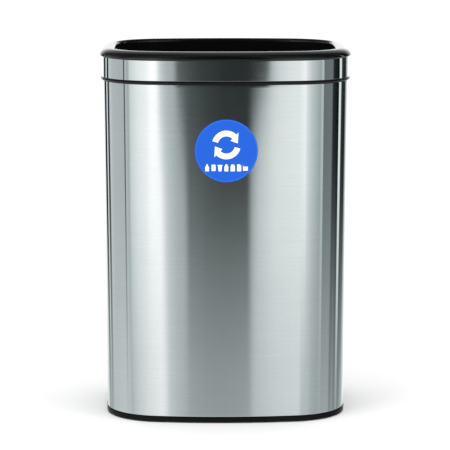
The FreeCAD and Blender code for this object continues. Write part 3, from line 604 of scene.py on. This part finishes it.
def moulded_plastic(name, base, roughness, texture, gloss=0.5):
    """Injection-moulded black plastic: a fine spark texture and slight flow marks."""
    finish = Finish(name)
    finish.set(Specular_IOR_Level=gloss, IOR=1.49)
    grain = finish.noise((2600.0, 2600.0, 2600.0), detail=2.0)
    flow = finish.noise((14.0, 14.0, 30.0), detail=3.0, seed=3.0)
    finish.tint(base, 0.25, flow)
    mixed = finish.math("MULTIPLY_ADD", grain, 0.5, finish.math("MULTIPLY", flow, 0.5))
    finish.set(Roughness=finish.spread(mixed, *roughness, 0.3, 0.7))
    finish.bump(grain, texture, 0.0003)
    return finish.material


def rubber(name, base):
    """Matt black rubber with a little dust."""
    finish = Finish(name)
    finish.set(IOR=1.5)
    grain = finish.noise((1500.0, 1500.0, 1500.0), detail=3.0)
    dust = finish.noise((60.0, 60.0, 60.0), detail=3.0, seed=6.0)
    finish.tint(base, 0.4, dust)
    finish.set(Roughness=finish.spread(grain, 0.62, 0.85))
    finish.bump(grain, 0.3, 0.0004)
    return finish.material


def zinc(name, base, roughness=(0.28, 0.45)):
    """Bright zinc plate with its faint crystal mottle."""
    finish = Finish(name)
    finish.set(Metallic=1.0)
    mottle = finish.noise((420.0, 420.0, 420.0), detail=2.0)
    fine = finish.noise((2400.0, 2400.0, 2400.0), detail=2.0, seed=2.0)
    finish.tint(base, 0.18, mottle)
    finish.set(Roughness=finish.spread(mottle, *roughness, 0.3, 0.7))
    finish.bump(fine, 0.12, 0.0002)
    return finish.material


def galvanised(name, base):
    """Hot-dip sheet with large dull spangles."""
    finish = Finish(name)
    finish.set(Metallic=1.0)
    cells = finish.node("ShaderNodeTexVoronoi", {"Scale": 140.0, "Vector": finish.place})
    spangle = finish.node("ShaderNodeSeparateColor", {"Color": cells.outputs["Color"]})
    finish.tint(base, 0.22, spangle.outputs["Red"])
    finish.set(Roughness=finish.spread(spangle.outputs["Green"], 0.35, 0.6))
    return finish.material


def label_print(name, ground, variation=0.03):
    """Printed gloss vinyl: an even ground under a clear film, with slight orange peel."""
    finish = Finish(name)
    finish.set(Specular_IOR_Level=0.25, IOR=1.45)
    peel = finish.noise((500.0, 500.0, 500.0), detail=2.0)
    tone = finish.noise((40.0, 40.0, 40.0), detail=2.0, seed=5.0)
    finish.tint(ground, variation, tone)
    finish.set(Roughness=finish.spread(peel, 0.32, 0.42))
    finish.bump(peel, 0.04, 0.0002)
    return finish.material


def finishes():
    """Every finish of the bin, made once and then shared."""
    colours = bpy.context.scene.bin_colours
    steel, black = tuple(colours.steel), tuple(colours.black)
    recipes = {
        "shell_steel": lambda n: brushed_steel(n, steel),
        "collar_steel": lambda n: brushed_steel(n, steel),
        "strip_steel": lambda n: brushed_steel(
            n, scaled(steel, 0.94), (1700.0, 1700.0, 6.0), (0.16, 0.24), upright=True
        ),
        "weld_steel": lambda n: zinc(n, scaled(steel, 0.72), (0.2, 0.3)),
        "ring_black": lambda n: moulded_plastic(n, black, (0.10, 0.16), 0.02, gloss=0.25),
        "rim_black": lambda n: moulded_plastic(n, scaled(black, 0.7), (0.07, 0.12), 0.01, gloss=0.6),
        "base_black": lambda n: moulded_plastic(n, scaled(black, 0.9), (0.30, 0.42), 0.12, gloss=0.12),
        "liner_black": lambda n: moulded_plastic(n, scaled(black, 1.2), (0.42, 0.58), 0.25),
        "grip_black": lambda n: moulded_plastic(n, scaled(black, 2.4), (0.34, 0.48), 0.2),
        "foot_rubber": lambda n: rubber(n, (0.016, 0.016, 0.016)),
        "pad_rubber": lambda n: rubber(n, (0.020, 0.020, 0.020)),
        "screw_zinc": lambda n: zinc(n, (0.62, 0.62, 0.63)),
        "wire_zinc": lambda n: zinc(n, (0.58, 0.59, 0.60), (0.2, 0.34)),
        "pan_galvanised": lambda n: galvanised(n, (0.56, 0.58, 0.59)),
        "label_blue": lambda n: label_print(n, tuple(colours.label_blue)),
        "label_border": lambda n: label_print(n, tuple(colours.label_border)),
        "label_white": lambda n: label_print(n, tuple(colours.label_white), 0.01),
    }
    return {name: bpy.data.materials.get(name) or recipe(name) for name, recipe in recipes.items()}


def paint(node, material):
    """Gives a carried-over CAD node its finish."""
    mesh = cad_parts[node].data
    mesh.materials.clear()
    mesh.materials.append(material)


# ------------------------------------------------------------------------------
# Profiles
# ------------------------------------------------------------------------------


def shell_profile(hem):
    """Outer wall with a hem at each end, then the inner wall a gauge behind it."""
    low, high = SHELL_LOW.z, SHELL_HIGH.z
    inner_hem = hem - GAUGE
    top_flange, foot_flange = 9.0, TAPER + 12.0
    return rounded(
        [
            (TAPER, low, hem),
            (TAPER, low + HEM_BAND, 0),
            (0, high - HEM_BAND, 0),
            (0, high, hem),
            (top_flange, high, 0),
            (top_flange, high - GAUGE, 0),
            (GAUGE, high - GAUGE, inner_hem),
            (GAUGE, high - HEM_BAND, 0),
            (TAPER + GAUGE, low + HEM_BAND, 0),
            (TAPER + GAUGE, low + GAUGE, inner_hem),
            (foot_flange, low + GAUGE, 0),
            (foot_flange, low, 0),
        ]
    )


def ring_profile():
    """Ledge with a full round nose, the spigot above it and the skirt below."""
    under, nose = SHELL_HIGH.z, 1.9
    return rounded(
        [
            (-2.75, under, nose),
            (-2.75, LEDGE_TOP, nose),
            (2.0, LEDGE_TOP, 0),
            (2.0, RING_HIGH.z, 0.8),
            (4.5, RING_HIGH.z, 0.8),
            (4.5, LEDGE_TOP, 0),
            (11.4, LEDGE_TOP, 0.8),
            (11.4, RING_LOW.z, 0),
            (9.4, RING_LOW.z, 0),
            (9.4, under, 0),
        ]
    )


def collar_profile():
    """Rolled lower edge, plain band and a top edge that turns in under the rim."""
    low, high = COLLAR_LOW.z, COLLAR_HIGH.z
    return rounded(
        [
            (-1.0, low, 0.75),
            (-1.0, high, 1.8),
            (9.0, high, 0),
            (9.0, high - GAUGE, 0),
            (-0.2, high - GAUGE, 1.0),
            (-0.2, low + 3.0, 0),
            (0.6, low + 3.0, 0),
            (0.6, low, 0.5),
        ]
    )


def rim_profile():
    """Mouth: a low outer edge, a dome that flattens to its crest, a rolled lip and the inner skirt."""
    low, high = COLLAR_HIGH.z, RIM_HIGH.z
    edge, crest = -4.0, 15.0
    dome = bezier([(edge, low + 1.4), (edge, high - 4.8), (4.5, high), (crest, high)], 24)
    inner = rounded(
        [
            (crest, high, 0),
            (21.0, high, 5.0),
            (21.0, RIM_LOW.z, 0.6),
            (18.5, RIM_LOW.z, 0.6),
            (18.5, low + 7.2, 0.8),
            (3.0, low + 7.2, 0.8),
            (3.0, low, 0.5),
            (edge + 0.8, low, 0.4),
            (edge, low + 1.0, 0),
        ],
        steps=10,
    )
    return dome + inner


def base_profile():
    """Open profile of the base tray, from the middle of its plate's underside round its wall to its top."""
    outer, middle = TAPER - 1.0, 45.0
    low, high, plate = BASE_LOW.z, BASE_HIGH.z, BASE_HIGH.z - 2.6
    corners = [
        (middle, plate, 0),
        (outer + 3.0, plate, 1.0),
        (outer + 3.0, low, 0.5),
        (outer, low, 0.7),
        (outer, high, 0.7),
        (middle, high, 0),
    ]
    return rounded(corners)


def liner_profile():
    """Open profile of the bucket, from the middle of its floor's underside over the lip to its floor."""
    low, high = LINER_LOW.z, LINER_HIGH.z
    foot, head, middle = LINER_INSET + LINER_DRAFT, LINER_INSET, 65.0
    wall_foot, wall_head = foot + LINER_WALL, head + LINER_WALL
    corners = [
        (middle, low, 0),
        (foot, low, 7.0),
        (foot, low + 12.0, 0),
        (head, high - 3.0, 0),
        (5.3, high - 3.0, 0.6),
        (5.3, high, 1.0),
        (wall_head, high, 0.8),
        (wall_head, high - 3.0, 0),
        (wall_foot, low + 12.0, 0),
        (wall_foot, low + LINER_FLOOR, 4.8),
        (middle, low + LINER_FLOOR, 0),
    ]
    return rounded(corners)


def boss_profile(depth):
    """Half section of a round boss: its back, its chamfered face and the blind hole for the bail's pin."""
    edge = 0.6
    return [
        (0, depth),
        (BOSS_RADIUS, depth),
        (BOSS_RADIUS, edge),
        (BOSS_RADIUS - edge, 0),
        (PIN_HOLE_RADIUS, 0),
        (PIN_HOLE_RADIUS, PIN_HOLE_DEPTH),
        (0, PIN_HOLE_DEPTH),
    ]


# ------------------------------------------------------------------------------
# The label's print
# ------------------------------------------------------------------------------

# Outlines of the items that go in the bin, as (x, height) points in millimetres about each item's middle.
ITEMS = (
    ((-3.0, -5.5), (3.0, -5.5), (3.0, 1.2), (1.2, 3.0), (1.2, 5.5), (-1.2, 5.5), (-1.2, 3.0), (-3.0, 1.2)),
    ((-2.6, -5.0), (2.6, -5.0), (3.2, -4.2), (3.2, 4.2), (2.6, 5.0), (-2.6, 5.0), (-3.2, 4.2), (-3.2, -4.2)),
    ((-2.2, -5.5), (2.2, -5.5), (3.2, 3.2), (3.8, 3.2), (3.8, 4.6), (-3.8, 4.6), (-3.8, 3.2), (-3.2, 3.2)),
    ((-3.0, -5.5), (3.0, -5.5), (3.0, 2.0), (1.4, 4.2), (1.4, 5.5), (-1.4, 5.5), (-1.4, 4.2), (-3.0, 2.0)),
    ((-3.4, -5.5), (3.4, -5.5), (3.4, 2.4), (2.4, 3.4), (2.4, 5.2), (-2.4, 5.2), (-2.4, 3.4), (-3.4, 2.4)),
    ((-3.2, -5.5), (3.2, -5.5), (3.2, 3.0), (0.7, 5.5), (-3.2, 5.5)),
    ((-3.6, -4.6), (3.6, -4.6), (3.6, 1.8), (-3.6, 1.8), (-3.6, 4.4), (-4.0, 4.4), (-4.0, -4.6)),
)
ITEM_PITCH = 10.0
# How far under and over the label's middle the row of items and the loop of arrows stand.
ITEMS_BELOW, SYMBOL_ABOVE = 26.5, 9.5


def arrow(side, inner=13.5, outer=22.5, tail=165.0, neck=46.0, tip=8.0, barb=4.5, count=20):
    """One of the loop's two round arrows, as a chain of outlines that ends in its head."""

    def at(degrees, radius):
        angle = math.radians(degrees + 180 * side)
        return radius * math.cos(angle), radius * math.sin(angle) + SYMBOL_ABOVE

    places = [tail + (neck - tail) * step / count for step in range(count + 1)]
    outlines = [
        [at(first, outer), at(second, outer), at(second, inner), at(first, inner)]
        for first, second in zip(places, places[1:])
    ]
    point = (tip, (inner + outer) / 2)
    head = [(neck, outer), (neck, outer + barb), point, (neck, inner - barb), (neck, inner)]
    return outlines + [[at(degrees, radius) for degrees, radius in head]]


def item_row():
    """The items side by side under the loop of arrows."""
    first = -ITEM_PITCH * (len(ITEMS) - 1) / 2
    return [
        [(x + first + number * ITEM_PITCH, height - ITEMS_BELOW) for x, height in outline]
        for number, outline in enumerate(ITEMS)
    ]


def band(inner, outer, count=96):
    """A ring as a chain of four-cornered outlines."""
    outlines = []
    for number in range(count):
        first, second = (2 * math.pi * (number + step) / count for step in (0, 1))
        corners = ((inner, first), (outer, first), (outer, second), (inner, second))
        outlines.append([(radius * math.cos(angle), radius * math.sin(angle)) for radius, angle in corners])
    return outlines


def printed(name, outlines, sizes):
    """A thin layer of ink on the label, from flat outlines bent to the front of the shell."""
    made = bmesh.new()
    for outline in outlines:
        made.faces.new([made.verts.new((x, 0, height)) for x, height in outline])
    bmesh.ops.remove_doubles(made, verts=made.verts, dist=0.001)
    reach = (LABEL_HIGH.x - LABEL_LOW.x) / 2
    step = sizes.print_step / MM
    for number in range(-int(reach / step), int(reach / step) + 1):
        everything = made.verts[:] + made.edges[:] + made.faces[:]
        bmesh.ops.bisect_plane(made, geom=everything, plane_co=(number * step, 0, 0), plane_no=(1, 0, 0))
    raised = bmesh.ops.extrude_face_region(made, geom=made.faces[:])["geom"]
    for corner in raised:
        if isinstance(corner, bmesh.types.BMVert):
            corner.co.y = 1
    middle = (LABEL_LOW.z + LABEL_HIGH.z) / 2
    for vertex in made.verts:
        height = middle + vertex.co.z
        # The ink starts inside the vinyl and stands a little proud of it.
        inset = shell_inset(height) - INK_START - INK_THICKNESS * vertex.co.y
        vertex.co = Vector((vertex.co.x, -face_reach(inset, vertex.co.x), height)) * MM
    return mesh_of(name, made)


# ------------------------------------------------------------------------------
# Operators
# ------------------------------------------------------------------------------


class BinOperator:
    """What every operator here shares."""

    bl_options = {"REGISTER", "UNDO"}

    def execute(self, context):
        self.build(context.scene.bin_sizes, finishes())
        return {"FINISHED"}


class BIN_OT_shell(BinOperator, bpy.types.Operator):
    """Brushed shell with its rolled edges"""

    bl_idname = "bin.shell"
    bl_label = "Shell"

    def build(self, sizes, finish):
        steel = finish["shell_steel"]
        mesh = wall("shell", shell_profile(sizes.hem_radius / MM), sizes, steel)
        finish_piece("body_shell_sheet", mesh, "bin", steel, ["body_shell"])


class BIN_OT_seam(BinOperator, bpy.types.Operator):
    """Strip over the seam at the back, with its two rows of spot welds"""

    bl_idname = "bin.seam"
    bl_label = "Seam strip"

    def build(self, sizes, finish):
        paint("seam_strip", finish["strip_steel"])
        radius = sizes.weld_size / MM / 2
        rise = [(radius, 0.02), (radius * 0.8, 0.14), (radius * 0.5, 0.06), (0, 0.02)]
        profile = [(0, -0.3), (radius, -0.3), *rise]
        dimple = part_object("weld", facing(turned(profile, sides=20), (0, 1, 0)))
        tree = row_tree()
        across = sizes.weld_rows / MM / 2
        low, high = SEAM_LOW.z + WELD_MARGIN, SEAM_HIGH.z - WELD_MARGIN
        made = bmesh.new()
        for x in (-across, across):
            reach = [face_reach(shell_inset(z) - SEAM_FACE, x) for z in (low, high)]
            ends = [Vector((x, y, z)) * MM for y, z in zip(reach, (low, high))]
            values = {"Part": dimple, "Start": ends[0], "End": ends[1], "Pitch": sizes.weld_pitch}
            made.from_mesh(grow("welds", tree, point_mesh("weld_row", []), finish["weld_steel"], **values))
        bpy.data.objects.remove(dimple)
        mesh = mesh_of("seam_welds", made)
        finish_piece("seam_welds", mesh, "bin", finish["weld_steel"])


class BIN_OT_ring(BinOperator, bpy.types.Operator):
    """Black ring between shell and collar"""

    bl_idname = "bin.ring"
    bl_label = "Top ring"

    def build(self, sizes, finish):
        black = finish["ring_black"]
        mesh = wall("ring", ring_profile(), sizes, black)
        finish_piece("top_ring_moulding", mesh, "bin", black, ["top_ring"])


class BIN_OT_collar(BinOperator, bpy.types.Operator):
    """Brushed collar band and the pads that keep it from rattling"""

    bl_idname = "bin.collar"
    bl_label = "Collar band"

    def build(self, sizes, finish):
        steel = finish["collar_steel"]
        mesh = wall("collar", collar_profile(), sizes, steel)
        finish_piece("collar_band_sheet", mesh, "collar", steel, ["collar_band"])
        paint("grip_pads", finish["pad_rubber"])


class BIN_OT_rim(BinOperator, bpy.types.Operator):
    """Domed black mouth of the bin"""

    bl_idname = "bin.rim"
    bl_label = "Rim"

    def build(self, sizes, finish):
        black = finish["rim_black"]
        mesh = wall("rim", rim_profile(), sizes, black)
        finish_piece("rim_moulding_mouth", mesh, "collar", black, ["rim_moulding"])


class BIN_OT_base(BinOperator, bpy.types.Operator):
    """Black base tray with its ribs, the pan above it and the rubber feet below"""

    bl_idname = "bin.base"
    bl_label = "Base"

    def build(self, sizes, finish):
        black = finish["base_black"]
        tray = mesh_of("base_tray", dish(base_profile(), sizes))
        finish_piece("base_tray", tray, "bin", black, ["base_skirt"])
        rib = part_object("rib", block((RIB_WIDTH, CROSS_RIB, RIB_HEIGHT), 0.4))
        reach = 1.5 * sizes.rib_pitch
        ends = [Vector((side * reach, 0, RIB_MIDDLE * MM)) for side in (-1, 1)]
        values = {"Part": rib, "Start": ends[0], "End": ends[1], "Pitch": sizes.rib_pitch * PITCH_HOLD}
        made = block((LONG_RIB, RIB_WIDTH, RIB_HEIGHT), 0.4)
        bmesh.ops.translate(made, vec=(0, 0, RIB_MIDDLE * MM), verts=made.verts)
        made.from_mesh(grow("ribs", row_tree(), point_mesh("rib_row", []), black, **values))
        bpy.data.objects.remove(rib)
        finish_piece("base_ribs", mesh_of("base_ribs", made), "bin", black)
        paint("floor_pan", finish["pan_galvanised"])
        for corner in ("front_left", "front_right", "back_left", "back_right"):
            paint(f"foot_{corner}", finish["foot_rubber"])


class BIN_OT_screws(BinOperator, bpy.types.Operator):
    """Pan-head screws of the base, the feet and the collar"""

    bl_idname = "bin.screws"
    bl_label = "Screws"

    def build(self, sizes, finish):
        tree = places_tree()
        feet = [(x, y) for x in (-FOOT_X, FOOT_X) for y in (-FOOT_Y, FOOT_Y)]
        base = perimeter_places(BASE_SCREW_INSET, BASE_SCREW_ACROSS)
        collar = perimeter_places(COLLAR_SCREW_INSET, COLLAR_SCREW_ACROSS)
        for name, body, places, shape in (
            ("base_screws", "bin", base, screw(6.5, 7.4, 2.6, 4.0, 15.0)),
            ("foot_screws", "bin", feet, screw(4.1, 7.0, 2.2, 3.5, 14.0)),
            ("collar_screws", "collar", collar, screw(COLLAR_HIGH.z - GAUGE, 6.5, 2.3, 3.0, 583.7)),
        ):
            part = part_object(f"{name}_part", shape)
            points = point_mesh(f"{name}_places", [(x, y, 0) for x, y in places])
            values = {"Part": part, "Spin": (0, 0, 2 * math.pi), "Seed": 7}
            mesh = grow(name, tree, points, finish["screw_zinc"], **values)
            bpy.data.objects.remove(part)
            finish_piece(f"{name}_cross", mesh, body, finish["screw_zinc"], [name])


class BIN_OT_liner(BinOperator, bpy.types.Operator):
    """Lift-out bucket with the bosses and the rests of its bail"""

    bl_idname = "bin.liner"
    bl_label = "Liner"

    def build(self, sizes, finish):
        black = finish["liner_black"]
        tub = mesh_of("liner_tub", dish(liner_profile(), sizes))
        finish_piece("liner_tub", tub, "liner", black, ["liner_bucket"])
        drop = LINER_DRAFT * (LINER_HIGH.z - PIVOT_HEIGHT) / (LINER_HIGH.z - LINER_LOW.z)
        depth = HALF_WIDTH - LINER_INSET - drop - 1.0 - BOSS_FACE
        made = bmesh.new()
        for side in (-1, 1):
            boss = facing(turned(boss_profile(depth), sides=48), (side, 0, 0))
            place = Vector((side * BOSS_FACE, 0, PIVOT_HEIGHT)) * MM
            bmesh.ops.translate(boss, vec=place, verts=boss.verts)
            made.from_mesh(mesh_of("boss", boss))
        shelf = part_object("shelf", block(SHELF_SIZE, 0.8))
        width, depth, height = SHELF_SIZE
        reach = face_reach(LINER_INSET + drop + SHELF_BITE, SHELF_X + width / 2) - depth / 2
        middle = PIVOT_HEIGHT - SHELF_DROP - height / 2
        places = [(x, side * reach, middle) for x in (-SHELF_X, SHELF_X) for side in (-1, 1)]
        points = point_mesh("shelf_places", places)
        made.from_mesh(grow("shelves", places_tree(), points, black, Part=shelf))
        bpy.data.objects.remove(shelf)
        finish_piece("liner_rests", mesh_of("liner_rests", made), "liner", black)


class BIN_OT_bail(BinOperator, bpy.types.Operator):
    """Wire bail with its pins and its ridged grip"""

    bl_idname = "bin.bail"
    bl_label = "Bail"

    def build(self, sizes, finish):
        for node in ("bail_wire", "bail_pins"):
            paint(node, finish["wire_zinc"])
        black = finish["grip_black"]
        half, bore = (GRIP_HIGH.x - GRIP_LOW.x) / 2, 2.5
        high = (GRIP_HIGH.z - GRIP_LOW.z) / 2
        low = high - 0.9
        place = (GRIP_LOW + GRIP_HIGH) / 2 * MM
        sleeve = rounded([(bore, -half, 0.4), (low, -half, 2.4), (low, half, 2.4), (bore, half, 0.4)])
        made = facing(turned(sleeve, sides=40, closed=True), (1, 0, 0))
        ridge = rounded([(low - 0.6, -2.2, 0), (high, -1.5, 1.0), (high, 1.5, 1.0), (low - 0.6, 2.2, 0)])
        ridge = part_object("ridge", facing(turned(ridge, sides=40, closed=True), (1, 0, 0)))
        bmesh.ops.translate(made, vec=place, verts=made.verts)
        reach = Vector((6 * sizes.ridge_pitch, 0, 0))
        values = {"Part": ridge, "Start": place - reach, "End": place + reach}
        values["Pitch"] = sizes.ridge_pitch * PITCH_HOLD
        made.from_mesh(grow("ridges", row_tree(), point_mesh("ridge_row", []), black, **values))
        bpy.data.objects.remove(ridge)
        mesh = mesh_of("bail_grip_sleeve", made)
        finish_piece("bail_grip_sleeve", mesh, "bail", black, ["bail_grip"])


class BIN_OT_label(BinOperator, bpy.types.Operator):
    """Round blue label with a painted highlight round its edge, a loop of two arrows and a row of items"""

    bl_idname = "bin.label"
    bl_label = "Label"

    def build(self, sizes, finish):
        paint("recycle_label", finish["label_blue"])
        radius = (LABEL_HIGH.x - LABEL_LOW.x) / 2
        # A lighter blue ring just inside the label's edge: a painted highlight for the sheen on that edge.
        edge_highlight_ink = printed("label_border", band(radius - 2.1, radius - 0.9), sizes)
        finish_piece("label_border", edge_highlight_ink, "bin", finish["label_border"])
        arrows = printed("label_arrows", arrow(0) + arrow(1), sizes)
        finish_piece("label_arrows", arrows, "bin", finish["label_white"])
        items = printed("label_items", item_row(), sizes)
        finish_piece("label_items", items, "bin", finish["label_white"])


# ------------------------------------------------------------------------------
# Stage
# ------------------------------------------------------------------------------

# Where the studio's bright panels and dark gaps stand, as (degrees from the camera's side, brightness) stops,
# for what the steel mirrors at eye height and for what it mirrors close to the floor.
PANELS_HIGH_LEFT = (
    (-180, 1.1), (-157, 0.95), (-149, 0.85), (-146, 0.01), (-138, 0.01), (-135.5, 0.8), (-133, 0.8),
    (-131, 0.01), (-126, 0.01), (-122.5, 0.62), (-112, 0.50), (-84, 0.46), (-80.8, 0.46), (-80, 0.03),
    (-78.4, 0.03), (-77, 0.52), (-70, 0.42), (-66, 0.68), (-50, 0.85), (-34, 0.95), (-24, 1.08),
    (-18.3, 1.1), (-17, 0.66), (-14, 0.46), (-11.6, 0.42), (-10.8, 0.10), (-4, 0.04), (0, 0.025),
)
PANELS_HIGH_RIGHT = (
    (0, 0.025), (11.0, 0.02), (12, 0.40), (14, 0.64), (18, 0.8), (24, 0.87), (33, 0.96), (37, 0.78),
    (46, 0.60), (64, 0.38), (68, 0.52), (70, 0.55), (72, 0.16), (92, 0.18), (95.5, 0.02), (112.5, 0.0),
    (114.5, 0.85), (119.5, 0.80), (122.5, 0.03), (138, 0.01), (150, 0.75), (160, 1.05), (180, 1.1),
)
PANELS_LOW_LEFT = (
    (-180, 0.72), (-172, 0.69), (-156, 0.62), (-147, 0.50), (-140, 0.41), (-133, 0.38), (-125, 0.51),
    (-117, 0.54), (-88, 0.60), (-74, 0.56), (-67, 0.47), (-62, 0.53), (-51, 0.62), (-40, 0.67), (-34, 0.72),
    (-20, 0.78), (-18.5, 0.87), (-17, 0.80), (-16.5, 0.63), (-15, 0.56), (-10, 0.41), (-6, 0.38), (0, 0.37),
)
PANELS_LOW_RIGHT = (
    (0, 0.37), (11.5, 0.40), (12.8, 0.53), (18, 0.61), (23, 0.67), (26, 0.60), (29.5, 0.49), (42, 0.48),
    (50, 0.41), (59, 0.39), (66, 0.40), (90, 0.42), (95.5, 0.26), (99, 0.33), (103, 0.37), (109, 0.28),
    (120, 0.30), (127, 0.28), (136, 0.42), (150, 0.53), (161, 0.67), (176, 1.0), (180, 1.0),
)


class Studio(NodeMaker):
    """World nodes: plain white for soft light, and panels that only mirrors see."""

    def ramp(self, turn, start, stops):
        """Brightness over half a turn from start."""
        share = self.math("DIVIDE", self.math("SUBTRACT", turn, start), 180.0)
        made = self.node("ShaderNodeValToRGB", {"Fac": share})
        elements = made.color_ramp.elements
        elements.remove(elements[-1])
        for number, (degrees, level) in enumerate(stops):
            place = (degrees - start) / 180
            element = elements.new(place) if number else elements[0]
            element.position = place
            # The dim parts of the studio are a little green.
            redness = 0.85 + 0.17 * level
            element.color = (level * redness, level * 1.02, level * 1.025, 1)
        return made.outputs["Color"]

    def panels(self, turn, left, right):
        """Brightness round the whole turn; a ramp holds too few stops, so each half has its own."""
        on_right = self.math("GREATER_THAN", turn, 0.0)
        return self.mix(on_right, self.ramp(turn, -180, left), self.ramp(turn, 0, right))

    def leaning(self, turn, rise):
        """The turn shifted with height, so that the edges of the dark panel ahead lean."""
        # The right-hand edge of the dark panel leans outwards near its foot.
        near_edge = self.math(
            "MULTIPLY",
            self.spread(turn, 0.0, 1.0, 3.0, 7.0, "SMOOTHSTEP"),
            self.spread(turn, 1.0, 0.0, 14.0, 26.0, "SMOOTHSTEP"),
        )
        lean = self.spread(rise, -1.1, 4.2, -0.085, -0.145, "SMOOTHSTEP")
        leaning = self.math("MULTIPLY_ADD", near_edge, lean, turn)
        # Its left-hand edge leans inwards from the top down, and low down it takes the bright bar with it.
        inner_end = self.spread(turn, 1.0, 0.0, -7.0, -3.0, "SMOOTHSTEP")
        for start, end, lean in (
            (-19.0, -14.0, self.spread(rise, 0.0, 1.8, -0.14, -0.10, "SMOOTHSTEP")),
            (-32.0, -18.0, self.spread(rise, -1.3, 0.0, -0.16, -0.12, "SMOOTHSTEP")),
        ):
            far_edge = self.math("MULTIPLY", self.spread(turn, 0.0, 1.0, start, end, "SMOOTHSTEP"), inner_end)
            leaning = self.math("MULTIPLY_ADD", far_edge, lean, leaning)
        return leaning

    def build(self):
        self.nodes.clear()
        facing = self.node("ShaderNodeTexCoord").outputs["Generated"]
        parts = self.node("ShaderNodeSeparateXYZ", {"Vector": facing}).outputs
        rise = parts["Z"]
        turn = self.math("ARCTAN2", parts["X"], self.math("MULTIPLY", parts["Y"], -1.0))
        turn = self.math("MULTIPLY", turn, 180 / math.pi)
        leaning = self.leaning(turn, rise)
        high = self.panels(leaning, PANELS_HIGH_LEFT, PANELS_HIGH_RIGHT)
        low = self.panels(leaning, PANELS_LOW_LEFT, PANELS_LOW_RIGHT)
        seen = self.mix(self.spread(rise, 0.0, 1.0, -0.255, -0.13, "SMOOTHSTEP"), low, high)
        ground = self.spread(rise, 0.0, 0.55, -0.29, -0.42, "SMOOTHSTEP")
        seen = self.mix(ground, seen, (0.66, 0.66, 0.66, 1.0))
        dimming = self.math(
            "MULTIPLY",
            self.spread(rise, 1.0, 0.3, 0.10, 0.42, "SMOOTHSTEP"),
            self.spread(rise, 1.0, 0.5, 0.5, 0.95, "SMOOTHSTEP"),
        )
        strength = self.math("MULTIPLY", dimming, 1.25)
        mirrored = self.node("ShaderNodeBackground", {"Color": seen, "Strength": strength})
        white = {"Color": (1.0, 1.0, 1.0, 1.0), "Strength": 1.15}
        soft = self.node("ShaderNodeBackground", white)
        glossy = self.node("ShaderNodeLightPath").outputs["Is Glossy Ray"]
        inputs = {0: glossy, 1: soft.outputs["Background"], 2: mirrored.outputs["Background"]}
        either = self.node("ShaderNodeMixShader", inputs).outputs["Shader"]
        self.node("ShaderNodeOutputWorld", {"Surface": either})


class BIN_OT_stage(bpy.types.Operator):
    """Pale floor, soft studio light and the camera"""

    bl_idname = "bin.stage"
    bl_label = "Stage"
    bl_options = {"REGISTER", "UNDO"}

    def execute(self, context):
        scene = context.scene
        scene.view_settings.view_transform = "Standard"
        self.camera(scene)
        self.floor(scene)
        self.lamps(scene)
        scene.world = bpy.data.worlds.new("studio")
        scene.world.use_nodes = True
        Studio(scene.world.node_tree).build()
        return {"FINISHED"}

    def camera(self, scene):
        data = bpy.data.cameras.new("camera")
        data.lens = 196.3
        data.sensor_width = 36.0
        data.dof.use_dof = False
        data.clip_start, data.clip_end = 0.1, 50.0
        camera = bpy.data.objects.new("camera", data)
        scene.collection.objects.link(camera)
        scene.camera = camera
        turn, pitch, distance, height, aside = 0.0145, 8.544, 3.9625, 0.89, 0.0002
        camera.location = (aside - math.sin(turn) * distance, -math.cos(turn) * distance, height)
        camera.rotation_euler = (math.radians(90 - pitch), 0, -turn)

    def floor(self, scene):
        made = bmesh.new()
        bmesh.ops.create_circle(made, cap_ends=True, radius=3.2, segments=96)
        mesh = mesh_of("floor", made)
        finish = Finish("floor_pale")
        finish.set(Roughness=0.9, Specular_IOR_Level=0.1, Base_Color=(0.93, 0.93, 0.93, 1.0))
        mesh.materials.append(finish.material)
        floor = bpy.data.objects.new("floor", mesh)
        floor.visible_glossy = False
        scene.collection.objects.link(floor)

    def lamps(self, scene):
        for name, place, size, power in (
            ("key_panel", (-1.6, -1.8, 2.6), 1.6, 22.0),
            ("fill_panel", (1.9, -1.4, 2.2), 1.6, 14.0),
        ):
            data = bpy.data.lights.new(name, "AREA")
            data.shape = "SQUARE"
            data.size = size
            data.energy = power
            lamp = bpy.data.objects.new(name, data)
            lamp.location = place
            aim = Vector((0, 0, 0.3)) - Vector(place)
            lamp.rotation_euler = aim.to_track_quat("-Z", "Y").to_euler()
            lamp.visible_glossy = False
            scene.collection.objects.link(lamp)


# ------------------------------------------------------------------------------
# Sidebar and registration
# ------------------------------------------------------------------------------


class BIN_PT_panel(bpy.types.Panel):
    """The bin's pieces, sizes and colours"""

    bl_idname = "BIN_PT_panel"
    bl_label = "Oval recycling bin"
    bl_space_type = "VIEW_3D"
    bl_region_type = "UI"
    bl_category = "Bin"

    def draw(self, context):
        for group in (context.scene.bin_sizes, context.scene.bin_colours):
            for name in group.__annotations__:
                self.layout.prop(group, name)
        for operator in OPERATORS:
            self.layout.operator(operator.bl_idname)


OPERATORS = (
    BIN_OT_stage,
    BIN_OT_shell,
    BIN_OT_seam,
    BIN_OT_ring,
    BIN_OT_collar,
    BIN_OT_rim,
    BIN_OT_base,
    BIN_OT_screws,
    BIN_OT_liner,
    BIN_OT_bail,
    BIN_OT_label,
)
CLASSES = (BinSizes, BinColours, *OPERATORS, BIN_PT_panel)


def register():
    for entry in CLASSES:
        bpy.utils.register_class(entry)
    bpy.types.Scene.bin_sizes = bpy.props.PointerProperty(type=BinSizes)
    bpy.types.Scene.bin_colours = bpy.props.PointerProperty(type=BinColours)


def unregister():
    del bpy.types.Scene.bin_colours
    del bpy.types.Scene.bin_sizes
    for entry in reversed(CLASSES):
        bpy.utils.unregister_class(entry)


def main():
    register()
    for operator in OPERATORS:
        group, name = operator.bl_idname.split(".")
        getattr(getattr(bpy.ops, group), name)()


if __name__ == "__main__":
    main()
